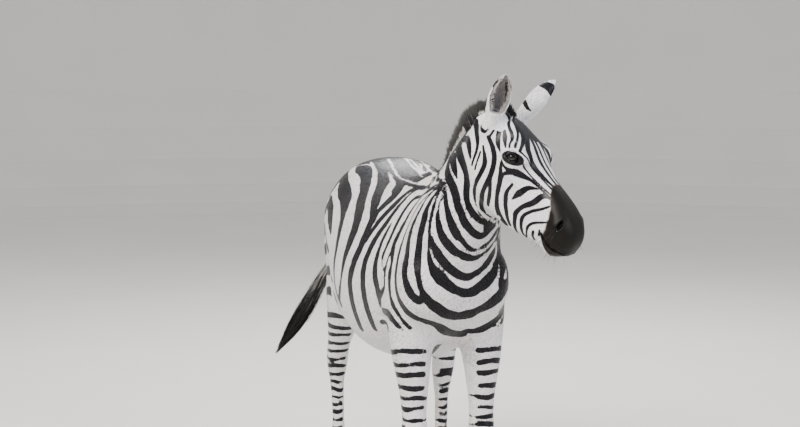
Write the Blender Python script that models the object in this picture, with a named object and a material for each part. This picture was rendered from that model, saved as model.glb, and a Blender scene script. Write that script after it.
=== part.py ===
"""A life-size standing plains zebra, head turned to its left, as named solids that meet at thin cuts.

Frame: metres, +X forward along the trunk, +Y the animal's left, +Z up, hooves on Z = 0.
The flesh is lofted from profiles of the trunk, neck, head and legs, grown into one skin,
then parted at the joints. Ears, eyes, hooves, mane and tail are solids of their own.
"""

import math

import bmesh
import bpy
import numpy as np
from mathutils import Matrix, Vector

# ---------------------------------------------------------------- driving dimensions
POLL = (0.740, 0.119, 1.515)  # top of the skull, between the ears
HEAD_YAW = 37.0  # degrees to the animal's left of straight ahead
HEAD_PITCH = 51.5  # degrees that the face line falls below level
HEAD_ROLL = -2.0
EYE_RADIUS = 0.021
EYE_CENTRE = (0.150, 0.0805, -0.034)  # in the skull's frame, left eye
CUT_GAP = 0.0006  # width of the thin cuts between nodes
SKIN_VOXEL = 0.009
FLESH_TRIANGLES = 4300
ORIGIN = (0.0921, -0.0296, 0.0)  # the point of the floor under the middle of the animal's box

# ---------------------------------------------------------------- small geometry tools


def smooth_curve(keys, at):
    """Values at the positions `at` on a smooth curve through {position: value} keys."""
    places = np.array(sorted(keys), float)
    values = np.array([keys[p] for p in sorted(keys)], float)
    slopes = np.gradient(values, places, axis=0)
    at = np.clip(np.asarray(at, float), places[0], places[-1])
    left = np.clip(np.searchsorted(places, at, side="right") - 1, 0, len(places) - 2)
    step = places[left + 1] - places[left]
    s = (at - places[left]) / step
    if values.ndim == 2:
        s, step = s[:, None], step[:, None]
    return (
        values[left] * (1 + 2 * s) * (1 - s) ** 2
        + slopes[left] * step * s * (1 - s) ** 2
        + values[left + 1] * s**2 * (3 - 2 * s)
        + slopes[left + 1] * step * s**2 * (s - 1)
    )


def signed_power(x, power):
    return np.sign(x) * np.abs(x) ** power


def oval(half_width, above, below, crest=2.0, keel=2.0, count=40):
    """A ring of (sideways, upwards) points. crest and keel set how square the two halves are."""
    angle = np.linspace(0, 2 * math.pi, count, endpoint=False)
    c, s = np.cos(angle), np.sin(angle)
    power = np.where(s >= 0, 2 / crest, 2 / keel)
    height = np.where(s >= 0, above, below)
    return np.stack([half_width * signed_power(c, power), height * signed_power(s, power)], 1)


def placed_ring(ring, centre, side, up):
    return centre + ring[:, :1] * side + ring[:, 1:] * up


def loft(rings):
    """(points, faces) of the closed surface over rings of equal count, its ends fanned shut."""
    rings = np.array(rings)
    rows, count = rings.shape[:2]
    points = np.concatenate([rings.reshape(-1, 3), [rings[0].mean(0), rings[-1].mean(0)]])
    faces = []
    for i in range(rows - 1):
        for j in range(count):
            k = (j + 1) % count
            faces.append((i * count + j, i * count + k, (i + 1) * count + k, (i + 1) * count + j))
    last = (rows - 1) * count
    for j in range(count):
        k = (j + 1) % count
        faces.append((rows * count, k, j))
        faces.append((rows * count + 1, last + j, last + k))
    return points, faces


def ellipsoid(centre, radii, lean=0.0, tilt=0.0, rows=18, count=28):
    """A closed ellipsoid, leaned about the sideways axis, then tilted about the lengthwise one."""
    turn = np.array(Matrix.Rotation(math.radians(tilt), 3, "X") @ Matrix.Rotation(math.radians(lean), 3, "Y"))
    rings = []
    for polar in np.linspace(0.02, math.pi - 0.02, rows):
        ring = oval(radii[0] * math.sin(polar), radii[1] * math.sin(polar), radii[1] * math.sin(polar), count=count)
        flat = np.stack([ring[:, 0], ring[:, 1], np.full(count, radii[2] * math.cos(polar))], 1)
        rings.append(flat @ turn.T + centre)
    return loft(rings)


def head_frame():
    """The skull's own frame: +X down the face, +Y left, +Z out of the forehead, origin at the poll."""
    turn = (
        Matrix.Rotation(math.radians(HEAD_YAW), 4, "Z")
        @ Matrix.Rotation(math.radians(HEAD_PITCH), 4, "Y")
        @ Matrix.Rotation(math.radians(HEAD_ROLL), 4, "X")
    )
    return Matrix.Translation(POLL) @ turn


def in_head(points):
    """Points of the skull's frame, in the model's."""
    frame = np.array(head_frame())
    return np.asarray(points, float) @ frame[:3, :3].T + frame[:3, 3]


# ---------------------------------------------------------------- flesh profiles

# Along the trunk, keyed by x from the buttocks to the breast.
TRUNK_TOP = {-0.70: 1.02, -0.68: 1.10, -0.63: 1.185, -0.56: 1.245, -0.45: 1.290, -0.34: 1.300, -0.20: 1.275,
             -0.05: 1.258, 0.10: 1.268, 0.22: 1.290, 0.30: 1.302, 0.37: 1.290, 0.46: 1.20, 0.55: 1.09, 0.60: 1.02, 0.64: 0.965}
TRUNK_BOTTOM = {-0.70: 0.97, -0.68: 0.93, -0.63: 0.88, -0.56: 0.835, -0.45: 0.77, -0.34: 0.705, -0.22: 0.642,
                -0.08: 0.606, 0.08: 0.608, 0.20: 0.640, 0.32: 0.690, 0.44: 0.735, 0.53: 0.790, 0.60: 0.86, 0.64: 0.92}
TRUNK_HALF_WIDTH = {-0.70: 0.03, -0.68: 0.09, -0.63: 0.160, -0.56: 0.210, -0.45: 0.252, -0.34: 0.274, -0.20: 0.288,
                    -0.05: 0.292, 0.10: 0.276, 0.22: 0.245, 0.32: 0.218, 0.44: 0.198, 0.54: 0.172, 0.60: 0.130, 0.64: 0.06}
TRUNK_WIDEST = {-0.70: 0.99, -0.63: 1.02, -0.45: 1.04, -0.34: 1.02, -0.20: 0.955, -0.05: 0.930, 0.10: 0.930,
                0.32: 0.940, 0.54: 0.93, 0.64: 0.94}
TRUNK_CREST = {-0.70: 2.0, -0.45: 2.2, -0.20: 2.1, 0.10: 1.75, 0.30: 1.40, 0.45: 1.5, 0.64: 2.0}
# The spine's bow to the left, keyed by x.
SPINE_SWAY = {-0.80: 0.020, -0.55: 0.023, -0.35: 0.023, -0.15: 0.016, 0.05: 0.006, 0.25: 0.0, 0.70: 0.0}
TRUNK_KEEL = {-0.70: 2.0, -0.34: 2.2, 0.0: 2.35, 0.30: 2.1, 0.64: 2.0}

# Along the neck, from deep in the shoulders (0) to the back of the skull (1).
NECK_CREST_LINE = {0.0: (0.250, 0.0, 1.235), 0.2: (0.372, 0.016, 1.308), 0.4: (0.452, 0.040, 1.378),
                   0.6: (0.512, 0.056, 1.438), 0.8: (0.578, 0.074, 1.482), 1.0: (0.655, 0.096, 1.505)}
NECK_THROAT_LINE = {0.0: (0.580, 0.0, 0.860), 0.2: (0.640, 0.0, 0.985), 0.4: (0.680, 0.014, 1.085),
                    0.6: (0.700, 0.036, 1.175), 0.8: (0.695, 0.055, 1.245), 1.0: (0.685, 0.072, 1.300)}
NECK_HALF_WIDTH = {0.0: 0.165, 0.2: 0.155, 0.4: 0.128, 0.6: 0.102, 0.8: 0.086, 1.0: 0.078}
NECK_CREST = {0.0: 1.35, 0.4: 1.35, 0.7: 1.5, 1.0: 1.8}
NECK_WIDEST = {0.0: 0.44, 0.4: 0.42, 1.0: 0.48}

# Down the face from the poll, in the skull's frame.
SKULL_TOP = {-0.05: -0.060, -0.02: -0.022, 0.02: 0.000, 0.08: 0.013, 0.145: 0.016, 0.21: 0.007, 0.28: 0.003,
             0.33: 0.006, 0.37: 0.005, 0.41: -0.001, 0.44: -0.012, 0.465: -0.030, 0.482: -0.052, 0.490: -0.080}
SKULL_BOTTOM = {-0.05: -0.115, -0.02: -0.165, 0.02: -0.210, 0.07: -0.237, 0.13: -0.249, 0.19: -0.247, 0.24: -0.237,
                0.29: -0.219, 0.34: -0.194, 0.38: -0.170, 0.41: -0.154, 0.44: -0.149, 0.462: -0.136, 0.480: -0.112, 0.490: -0.088}
BROW_HALF_WIDTH = {-0.05: 0.030, 0.0: 0.054, 0.06: 0.069, 0.11: 0.086, 0.15: 0.095, 0.185: 0.084, 0.23: 0.064,
                   0.28: 0.057, 0.33: 0.060, 0.37: 0.066, 0.41: 0.067, 0.44: 0.061, 0.47: 0.044, 0.490: 0.016}
CHEEK_HALF_WIDTH = {-0.05: 0.045, 0.0: 0.068, 0.06: 0.081, 0.12: 0.089, 0.16: 0.092, 0.20: 0.085, 0.25: 0.071,
                    0.31: 0.061, 0.36: 0.062, 0.40: 0.066, 0.435: 0.064, 0.47: 0.049, 0.490: 0.020}
JAW_HALF_WIDTH = {-0.05: 0.025, 0.0: 0.045, 0.06: 0.064, 0.12: 0.068, 0.19: 0.062, 0.25: 0.054, 0.31: 0.047,
                  0.36: 0.042, 0.41: 0.043, 0.445: 0.042, 0.475: 0.030, 0.490: 0.012}

# Down a leg, keyed by height: the middle's x, reach to front and back, half-width, and the middle's y.
FORELEG = {
    1.00: (0.440, 0.120, 0.150, 0.066, 0.118), 0.90: (0.430, 0.110, 0.150, 0.078, 0.124),
    0.80: (0.428, 0.084, 0.128, 0.078, 0.125), 0.72: (0.428, 0.070, 0.105, 0.073, 0.124),
    0.64: (0.430, 0.062, 0.072, 0.063, 0.123), 0.56: (0.432, 0.050, 0.054, 0.051, 0.121),
    0.48: (0.434, 0.042, 0.042, 0.044, 0.120), 0.425: (0.436, 0.047, 0.040, 0.046, 0.119),
    0.375: (0.436, 0.038, 0.040, 0.037, 0.118), 0.33: (0.434, 0.026, 0.036, 0.028, 0.117),
    0.25: (0.432, 0.023, 0.035, 0.025, 0.116), 0.20: (0.431, 0.026, 0.037, 0.028, 0.116),
    0.165: (0.432, 0.034, 0.040, 0.035, 0.116), 0.13: (0.442, 0.030, 0.034, 0.030, 0.116),
    0.095: (0.456, 0.028, 0.032, 0.029, 0.116), 0.065: (0.470, 0.034, 0.038, 0.036, 0.116),
    0.040: (0.476, 0.035, 0.039, 0.0365, 0.116), 0.005: (0.478, 0.033, 0.037, 0.035, 0.116),
}
HINDLEG = {
    1.02: (-0.430, 0.150, 0.190, 0.075, 0.130), 0.92: (-0.425, 0.160, 0.218, 0.090, 0.140),
    0.84: (-0.415, 0.150, 0.202, 0.088, 0.146), 0.76: (-0.415, 0.122, 0.158, 0.080, 0.149),
    0.68: (-0.440, 0.088, 0.108, 0.066, 0.149), 0.61: (-0.475, 0.062, 0.080, 0.052, 0.148),
    0.555: (-0.508, 0.052, 0.072, 0.044, 0.147), 0.51: (-0.528, 0.050, 0.066, 0.043, 0.146),
    0.46: (-0.540, 0.042, 0.048, 0.038, 0.145), 0.41: (-0.545, 0.030, 0.040, 0.030, 0.144),
    0.32: (-0.543, 0.026, 0.038, 0.027, 0.142), 0.22: (-0.540, 0.027, 0.038, 0.028, 0.141),
    0.175: (-0.538, 0.036, 0.043, 0.036, 0.141), 0.135: (-0.526, 0.031, 0.036, 0.031, 0.141),
    0.095: (-0.510, 0.029, 0.033, 0.030, 0.141), 0.065: (-0.497, 0.033, 0.037, 0.035, 0.141),
    0.040: (-0.490, 0.034, 0.038, 0.0355, 0.141), 0.005: (-0.487, 0.032, 0.036, 0.034, 0.141),
}
# How far each cannon stands from under its own shoulder or hip: (forward, outward).
STANCE = {"fore_right": (0.0, -0.010), "fore_left": (0.0, 0.006), "hind_right": (0.0, 0.040), "hind_left": (0.28, 0.020)}
HOCK_HEIGHT = 0.50

# Soft masses that the profiles alone leave out, on both sides: centre, radii, lean back and tilt inward in degrees.
MUSCLES = {
    "shoulder_blade": ((0.385, 0.108, 1.03), (0.120, 0.060, 0.19), -25, 14),
    "triceps": ((0.360, 0.146, 0.89), (0.14, 0.062, 0.13), 10, 0),
    "shoulder_point": ((0.510, 0.104, 0.940), (0.105, 0.090, 0.14), 12, 0),
    "breast": ((0.545, 0.048, 0.930), (0.085, 0.066, 0.12), 8, 0),
    "rump": ((-0.43, 0.130, 1.07), (0.22, 0.120, 0.18), -8, 10),
    "thigh": ((-0.468, 0.140, 0.955), (0.192, 0.106, 0.21), -14, 0),
    "stifle": ((-0.335, 0.185, 0.82), (0.095, 0.060, 0.13), -15, 0),
}
BROW_BONE = ((0.152, 0.070, -0.012), (0.050, 0.028, 0.022))  # over each eye, in the skull's frame


# Each ear: its root in the skull's frame, then how it points and which way it opens, in the model's frame.
EARS = {
    "right": ((0.014, -0.062, -0.052), (0.330, 0.200, 0.925), (0.98, -0.10, 0.0)),
    "left": ((0.008, 0.088, -0.033), (0.230, 0.655, 0.725), (-0.30, 0.62, -0.50)),
}
EAR_LENGTH = 0.174
EAR_FOOT = {"right": 0.21, "left": 0.13}  # share of the length at which each ear stands on its root
EAR_WALL = 0.0060
EAR_RADIUS = {0.0: 0.027, 0.13: 0.026, 0.30: 0.031, 0.50: 0.036, 0.70: 0.0325, 0.86: 0.023, 0.95: 0.013, 1.0: 0.006}
EAR_WRAP = {0.0: 165.0, 0.13: 160.0, 0.30: 132.0, 0.50: 108.0, 0.70: 96.0, 0.86: 84.0, 1.0: 60.0}

# The mane, from the withers (0) past the poll to the forelock (1).
MANE_FOOT = {0.0: (0.335, 0.008, 1.290), 0.2: (0.420, 0.032, 1.350), 0.4: (0.484, 0.049, 1.412),
             0.6: (0.548, 0.066, 1.460), 0.8: (0.640, 0.092, 1.500), 0.92: (0.715, 0.112, 1.512),
             1.0: (0.757, 0.130, 1.500)}
MANE_HEIGHT = {0.0: 0.008, 0.1: 0.036, 0.25: 0.074, 0.5: 0.096, 0.7: 0.080, 0.85: 0.062, 0.95: 0.036, 1.0: 0.016}
MANE_LEAN_BACK = 6.0
MANE_HALF_WIDTH = (0.017, 0.014, 0.006)  # at the skin, half way up and at the tips

# The tail, swung to the right, from its root (0) to the last hair (1); the hair begins at TAIL_HAIR.
TAIL_LINE = {0.0: (-0.640, 0.020, 1.130), 0.12: (-0.705, 0.012, 1.075), 0.27: (-0.735, -0.060, 0.985),
             0.46: (-0.742, -0.160, 0.850), 0.72: (-0.752, -0.275, 0.650), 1.0: (-0.762, -0.388, 0.484)}
TAIL_RADIUS = {0.0: 0.036, 0.12: 0.031, 0.27: 0.022, 0.46: 0.016, 0.60: 0.013}
TUFT_RADIUS = {0.44: 0.017, 0.52: 0.030, 0.66: 0.040, 0.82: 0.030, 0.93: 0.014, 1.0: 0.004}
TAIL_HAIR = 0.46

# Hooves: sole reach to toe, to heel and half-width; the coronet's same sizes; its height at toe and heel.
HOOF = {
    "fore": ((0.066, 0.044, 0.045), (0.037, 0.041, 0.0385), (0.068, 0.036)),
    "hind": ((0.063, 0.042, 0.041), (0.036, 0.040, 0.0375), (0.066, 0.036)),
}
HOOF_MIDDLE = {"fore": (0.478, 0.116), "hind": (-0.487, 0.141)}

# Where the neck parts from the body: middle of the cut, axis across it and reach.
NECK_CUT = ((0.512, 0.012, 1.165), (0.70, 0.0, 0.714), 0.32)
# The head parts from the neck behind and below the jaw, along this line in the skull's frame.
JAW_CUT = {0.0: (-0.066, 0.060), 0.2: (-0.066, -0.060), 0.4: (-0.034, -0.170), 0.6: (0.035, -0.243),
           0.8: (0.130, -0.262), 1.0: (0.300, -0.255)}
# Where each leg parts from the body: height and how far the cut leans back, in degrees.
LEG_CUT = {"fore_right": (0.665, 0.0), "fore_left": (0.665, 0.0), "hind_right": (0.700, 14.0), "hind_left": (0.592, 0.0)}
CANNON_CUT = {"fore": 0.385, "hind": 0.470}
TAIL_ROOT = 0.29  # where the dock parts from the body, along the tail


def swayed(points):
    """Points moved sideways with the bow of the spine."""
    moved = np.array(points)
    moved[:, 1] += smooth_curve(SPINE_SWAY, moved[:, 0])
    return moved


def trunk_surface():
    rings = []
    for x in np.arange(-0.699, 0.640, 0.012):
        at = [x]
        top, bottom = smooth_curve(TRUNK_TOP, at)[0], smooth_curve(TRUNK_BOTTOM, at)[0]
        middle = smooth_curve(TRUNK_WIDEST, at)[0]
        ring = oval(smooth_curve(TRUNK_HALF_WIDTH, at)[0], top - middle, middle - bottom,
                    smooth_curve(TRUNK_CREST, at)[0], smooth_curve(TRUNK_KEEL, at)[0], count=72)
        rings.append(placed_ring(ring, np.array([x, 0, middle]), np.array([0, 1, 0]), np.array([0, 0, 1])))
    return loft(rings)


def neck_surface():
    rings = []
    steps = np.linspace(0, 1, 41)
    crests, throats = smooth_curve(NECK_CREST_LINE, steps), smooth_curve(NECK_THROAT_LINE, steps)
    along = np.gradient(0.5 * (crests + throats), axis=0)
    for t, crest, throat, ahead in zip(steps, crests, throats, along):
        up = crest - throat
        depth = np.linalg.norm(up)
        up /= depth
        side = np.cross(up, ahead)
        side /= np.linalg.norm(side)
        share = smooth_curve(NECK_WIDEST, [t])[0]
        ring = oval(smooth_curve(NECK_HALF_WIDTH, [t])[0], (1 - share) * depth, share * depth,
                    smooth_curve(NECK_CREST, [t])[0], count=64)
        rings.append(placed_ring(ring, throat + share * depth * up, side, up))
    return loft(rings)


def skull_ring(u, count=64):
    """The head's section at u down the face: forehead, brow, cheek, jaw edge and the hollow between the jaws."""
    at = [u]
    top, bottom = smooth_curve(SKULL_TOP, at)[0], smooth_curve(SKULL_BOTTOM, at)[0]
    depth = top - bottom
    brow, cheek = smooth_curve(BROW_HALF_WIDTH, at)[0], smooth_curve(CHEEK_HALF_WIDTH, at)[0]
    jaw = smooth_curve(JAW_HALF_WIDTH, at)[0]
    half = [(0.0, top), (0.62 * brow, top - 0.03 * depth), (brow, top - 0.20 * depth), (cheek, top - 0.48 * depth),
            (0.5 * (cheek + jaw) + 0.006, top - 0.80 * depth), (0.72 * jaw, bottom + 0.03 * depth), (0.0, bottom)]
    loop = half + [(-y, z) for y, z in half[-2:0:-1]]
    loop = loop + loop[:1]
    wrapped = {float(i): p for i, p in enumerate(loop[-4:-1] + loop + loop[1:4])}
    at = np.linspace(3, 3 + len(loop) - 1, count, endpoint=False)
    return smooth_curve(wrapped, at)


def skull_surface():
    rings = []
    for u in np.linspace(-0.05, 0.4899, 72):
        ring = skull_ring(u)
        rings.append(in_head(np.stack([np.full(len(ring), u), -ring[:, 0], ring[:, 1]], 1)))
    return loft(rings)


def leg_surface(profile, side, stance):
    """A leg from inside the trunk to inside the hoof; side is +1 for left. The hoof stands off by stance."""
    rings = []
    highest, lowest = max(profile), min(profile)
    for z in np.arange(highest, lowest, -0.009):
        x, front, back, half, y = smooth_curve(profile, [z])[0]
        share = min((highest - z) / (highest - HOCK_HEIGHT), 1.0)
        share = share * share * (3 - 2 * share)
        centre = np.array([x + stance[0] * share, side * (y + stance[1] * share), z])
        ring = oval(half, front, back, 2.1, 2.1, count=40)
        rings.append(placed_ring(ring, centre, np.array([0, 1, 0]), np.array([1, 0, 0])))
    return loft(rings)


def tube(line, radius, steps, count=24):
    """A round loft along a keyed line."""
    centres = smooth_curve(line, steps)
    along = np.gradient(centres, axis=0)
    rings = []
    for t, centre, ahead in zip(steps, centres, along):
        ahead = ahead / np.linalg.norm(ahead)
        side = np.cross(ahead, [1.0, 0.0, 0.0])
        side /= np.linalg.norm(side)
        reach = smooth_curve(radius, [t])[0]
        rings.append(placed_ring(oval(reach, reach, reach, count=count), centre, side, np.cross(ahead, side)))
    return loft(rings)


def tail_dock_surface():
    return tube(TAIL_LINE, TAIL_RADIUS, np.linspace(0.0, 0.58, 30))


def ear_frame(side):
    """The ear's root, its axis, the way it opens and its sideways direction, in the model's frame."""
    root, aim, opening = EARS[side]
    axis = np.array(aim) / np.linalg.norm(aim)
    opening = np.array(opening) - np.dot(opening, axis) * axis
    opening /= np.linalg.norm(opening)
    return in_head([root])[0], axis, opening, np.cross(axis, opening)


def ear_root_surface(side):
    root, axis, opening, across = ear_frame(side)
    rings = []
    for t in np.linspace(-0.22, EAR_FOOT[side] + 0.07, 12):
        reach = smooth_curve(EAR_RADIUS, [t])[0] + 0.0015
        rings.append(placed_ring(oval(reach, reach, reach, count=28), root + t * EAR_LENGTH * axis, across, opening))
    return loft(rings)


def ear_seat(side):
    """The room kept free for an ear above its root, as a closed surface."""
    root, axis, opening, across = ear_frame(side)
    rings = []
    for t in (EAR_FOOT[side] - 0.002, EAR_FOOT[side] + 0.10, EAR_FOOT[side] + 0.22):
        reach = smooth_curve(EAR_RADIUS, [t])[0] + 0.003
        rings.append(placed_ring(oval(reach, reach, reach, count=24), root + t * EAR_LENGTH * axis, across, opening))
    return loft(rings)


def ear_rings(side, count=11):
    """C-shaped rings up the ear: round its back from edge to edge, then back along the inside."""
    root, axis, opening, across = ear_frame(side)
    rings = []
    for t in [EAR_FOOT[side], 0.30, 0.43, 0.58, 0.71, 0.82, 0.91, 0.96, 0.99]:
        reach = smooth_curve(EAR_RADIUS, [t])[0]
        wrap = math.radians(smooth_curve(EAR_WRAP, [t])[0])
        wall = min(EAR_WALL, 0.8 * reach)
        turn = np.linspace(-wrap, wrap, count)
        outer = np.stack([reach * np.sin(turn), -reach * np.cos(turn)], 1)
        inner = np.stack([(reach - wall) * np.sin(turn), -(reach - wall) * np.cos(turn)], 1)[::-1]
        edge = 0.35 * wall / reach
        rim = np.stack([(reach - wall / 2) * np.sin([wrap + edge, -wrap - edge]),
                        -(reach - wall / 2) * np.cos([wrap + edge, -wrap - edge])], 1)
        ring = np.concatenate([outer, rim[:1], inner, rim[1:]])
        rings.append(placed_ring(ring, root + t * EAR_LENGTH * axis, across, opening))
    return rings


def mane_rings(count=20, sink=0.014):
    steps = np.linspace(0, 1, count)
    feet = smooth_curve(MANE_FOOT, steps)
    along = np.gradient(feet, axis=0)
    rings = []
    for t, foot, ahead in zip(steps, feet, along):
        ahead = ahead / np.linalg.norm(ahead)
        side = np.cross([0, 0, 1.0], ahead)
        side /= np.linalg.norm(side)
        up = np.cross(ahead, side) - math.tan(math.radians(MANE_LEAN_BACK)) * ahead
        height = smooth_curve(MANE_HEIGHT, [t])[0]
        base, middle, tip = MANE_HALF_WIDTH
        ring = np.array([(-base, -sink), (base, -sink), (base, 0.002), (middle, 0.55 * height),
                         (tip, 0.93 * height), (0, height), (-tip, 0.93 * height), (-middle, 0.55 * height),
                         (-base, 0.002)])
        rings.append(placed_ring(ring, foot, side, up))
    return rings


def coronet(name):
    """A point of the coronet's plane and its upward normal, for a hoof standing at the origin."""
    _, (front, back, _), (toe, heel) = HOOF[name]
    slope = np.array([front + back, 0, toe - heel])
    normal = np.cross(slope, [0, 1.0, 0])
    normal /= np.linalg.norm(normal)
    return np.array([0, 0, heel + (toe - heel) * back / (front + back)]), normal * np.sign(normal[2])


def hoof_middle(name, side):
    """Where the hoof stands: under the swayed leg's end."""
    x, y = HOOF_MIDDLE[name]
    stance = STANCE[f"{name}_{'left' if side > 0 else 'right'}"]
    return swayed([[x + stance[0], side * (y + stance[1]), 0.0]])[0]


def hoof_rings(name, side, count=22):
    (toe, heel, half), (front, back, top_half), _ = HOOF[name]
    point, normal = coronet(name)
    point = point - 0.5 * CUT_GAP * normal
    middle = hoof_middle(name, side)
    rings = []
    for share in (0.0, 0.05, 0.5, 0.93, 1.0):
        lip = 0.0016 if share in (0.0, 1.0) else 0.0
        reach = [(1 - share) * low + share * high - lip
                 for low, high in ((toe, front), (heel, back), (half, top_half))]
        ring = oval(reach[2], reach[0], reach[1], 2.15, 2.9, count=count)
        placed = placed_ring(ring, np.zeros(3), np.array([0, 1.0, 0]), np.array([1.0, 0, 0]))
        shadow = point[2] - (normal[0] * (placed[:, 0] - point[0])) / normal[2]
        placed[:, 2] = share * shadow
        rings.append(placed + middle)
    return rings


def flesh_surfaces():
    """Every surface whose union is the animal's flesh, as (points, faces)."""
    body = [trunk_surface()]
    for name, profile in (("fore", FORELEG), ("hind", HINDLEG)):
        for side, word in ((1, "left"), (-1, "right")):
            body.append(leg_surface(profile, side, STANCE[f"{name}_{word}"]))
    for centre, radii, lean, tilt in MUSCLES.values():
        for side in (1, -1):
            body.append(ellipsoid(np.array([centre[0], side * centre[1], centre[2]]), radii, lean, side * tilt))
    body.append(tail_dock_surface())
    body = [(swayed(points), faces) for points, faces in body]
    head = [neck_surface(), skull_surface()] + [ear_root_surface(side) for side in EARS]
    centre, radii = BROW_BONE
    for side in (1, -1):
        points, faces = ellipsoid(np.array([centre[0], side * centre[1], centre[2]]), radii)
        head.append((in_head(points), faces))
    return body + head


# ---------------------------------------------------------------- growing one skin


def mesh_from(name, points, faces):
    mesh = bpy.data.meshes.new(name)
    mesh.from_pydata([tuple(p) for p in points], [], [tuple(f) for f in faces])
    mesh.update()
    return mesh


def outward(mesh):
    """Turns every face outwards, in place."""
    work = bmesh.new()
    work.from_mesh(mesh)
    bmesh.ops.recalc_face_normals(work, faces=work.faces)
    work.to_mesh(mesh)
    work.free()
    return mesh


def joined(surfaces):
    points, faces, start = [], [], 0
    for part_points, part_faces in surfaces:
        points.append(np.asarray(part_points))
        faces += [tuple(start + i for i in face) for face in part_faces]
        start += len(part_points)
    return np.concatenate(points), faces


def evaluated(obj):
    """A new mesh: the object with its modifiers applied."""
    graph = bpy.context.evaluated_depsgraph_get()
    return bpy.data.meshes.new_from_object(obj.evaluated_get(graph), depsgraph=graph)


def remeshed(points, faces, voxel):
    mesh = outward(mesh_from("lofts", points, faces))
    obj = bpy.data.objects.new("lofts", mesh)
    bpy.context.scene.collection.objects.link(obj)
    remesh = obj.modifiers.new("grow", "REMESH")
    remesh.mode = "VOXEL"
    remesh.voxel_size = voxel
    made = evaluated(obj)
    bpy.data.objects.remove(obj)
    return made


def smoothing_share(co):
    """How strongly each point may be smoothed: fully on the trunk, barely on head, ears and lower legs."""
    low = np.clip((co[:, 2] - 0.62) / 0.2, 0, 1)
    head = np.clip((0.62 - co[:, 0]) / 0.12, 0, 1)
    low_front = np.where(co[:, 2] < 1.15, 1.0, head)
    rear = np.clip((co[:, 0] + 0.70) / 0.05, 0, 1)
    return np.minimum(low * low_front, rear)


def relax(mesh, creases=70, overall=6, soften=60):
    """Fills the creases between the lofts, then smooths without shrinking, most on the trunk."""
    count = len(mesh.vertices)
    co = np.empty(count * 3, np.float32)
    mesh.vertices.foreach_get("co", co)
    co = co.reshape(-1, 3).astype(float)
    edges = np.empty(len(mesh.edges) * 2, np.int32)
    mesh.edges.foreach_get("vertices", edges)
    a, b = edges.reshape(-1, 2).T
    valence = np.bincount(a, minlength=count) + np.bincount(b, minlength=count)

    def pull(values):
        total = np.empty_like(values)
        for k in range(3):
            total[:, k] = np.bincount(a, values[b, k], count) + np.bincount(b, values[a, k], count)
        return total / valence[:, None] - values

    def normals():
        mesh.vertices.foreach_set("co", co.astype(np.float32).ravel())
        mesh.update()
        found = np.empty(count * 3, np.float32)
        mesh.vertex_normals.foreach_get("vector", found)
        return found.reshape(-1, 3).astype(float)

    share = smoothing_share(co)[:, None]
    for step in range(creases):
        if step % 4 == 0:
            out = normals()
        move = pull(co)
        lift = (move * out).sum(1)
        limit = np.where(step < 30, 1.0, share[:, 0])
        co += move * (np.where(lift > 0, 0.6, 0.06) * limit)[:, None]
    for step in range(overall + soften):
        amount = 1.0 if step < overall else share
        co += 0.55 * amount * pull(co)
        co -= 0.57 * amount * pull(co)
    normals()
    return mesh


# ---------------------------------------------------------------- parting the flesh


def part_across(work, centre, axis, reach):
    """Parts a bmesh across a plane, within reach of its centre, and closes both sides a thin gap apart."""
    centre = Vector(centre)
    axis = Vector(axis).normalized()
    near = [face for face in work.faces if any((v.co - centre).length < reach for v in face.verts)]
    edges = {edge for face in near for edge in face.edges}
    points = {vert for face in near for vert in face.verts}
    cut = bmesh.ops.bisect_plane(work, geom=[*near, *edges, *points], dist=1e-6, plane_co=centre, plane_no=axis)
    rim = [item for item in cut["geom_cut"] if isinstance(item, bmesh.types.BMEdge)]
    bmesh.ops.split_edges(work, edges=rim)
    open_edges = [edge for edge in work.edges if edge.is_boundary]
    caps = bmesh.ops.holes_fill(work, edges=open_edges, sides=0)["faces"]
    for cap in caps:
        behind = [other.calc_center_median() for edge in cap.edges for other in edge.link_faces if other != cap]
        side = sum((point - centre).dot(axis) for point in behind)
        for vert in cap.verts:
            vert.co += math.copysign(0.5 * CUT_GAP, side) * axis
    bmesh.ops.triangulate(work, faces=caps)


def jaw_sheet(thickness=CUT_GAP, half_width=0.16, count=14):
    """(points, faces) of the thin curved sheet between jaw and neck."""
    line = smooth_curve(JAW_CUT, np.linspace(0, 1, count))
    along = np.gradient(line, axis=0)
    across = np.stack([-along[:, 1], along[:, 0]], 1) / np.linalg.norm(along, axis=1)[:, None]
    rims = []
    for side in (-half_width, half_width):
        for offset in (-0.5 * thickness, 0.5 * thickness):
            edge = line + offset * across
            rims.append(in_head(np.stack([edge[:, 0], np.full(count, side), edge[:, 1]], 1)))
    faces = [(0, count, 3 * count, 2 * count), (count - 1, 3 * count - 1, 4 * count - 1, 2 * count - 1)]
    for i in range(count - 1):
        for low, high in ((0, 1), (1, 3), (3, 2), (2, 0)):
            faces.append((low * count + i, low * count + i + 1, high * count + i + 1, high * count + i))
    return np.concatenate(rims), faces


def leg_middle(profile, z, side, stance):
    """The middle of a leg at height z, swayed."""
    x, _, _, _, y = smooth_curve(profile, [z])[0]
    highest = max(profile)
    share = min((highest - z) / (highest - HOCK_HEIGHT), 1.0)
    share = share * share * (3 - 2 * share)
    return swayed([[x + stance[0] * share, side * (y + stance[1] * share), z]])[0]


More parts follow.
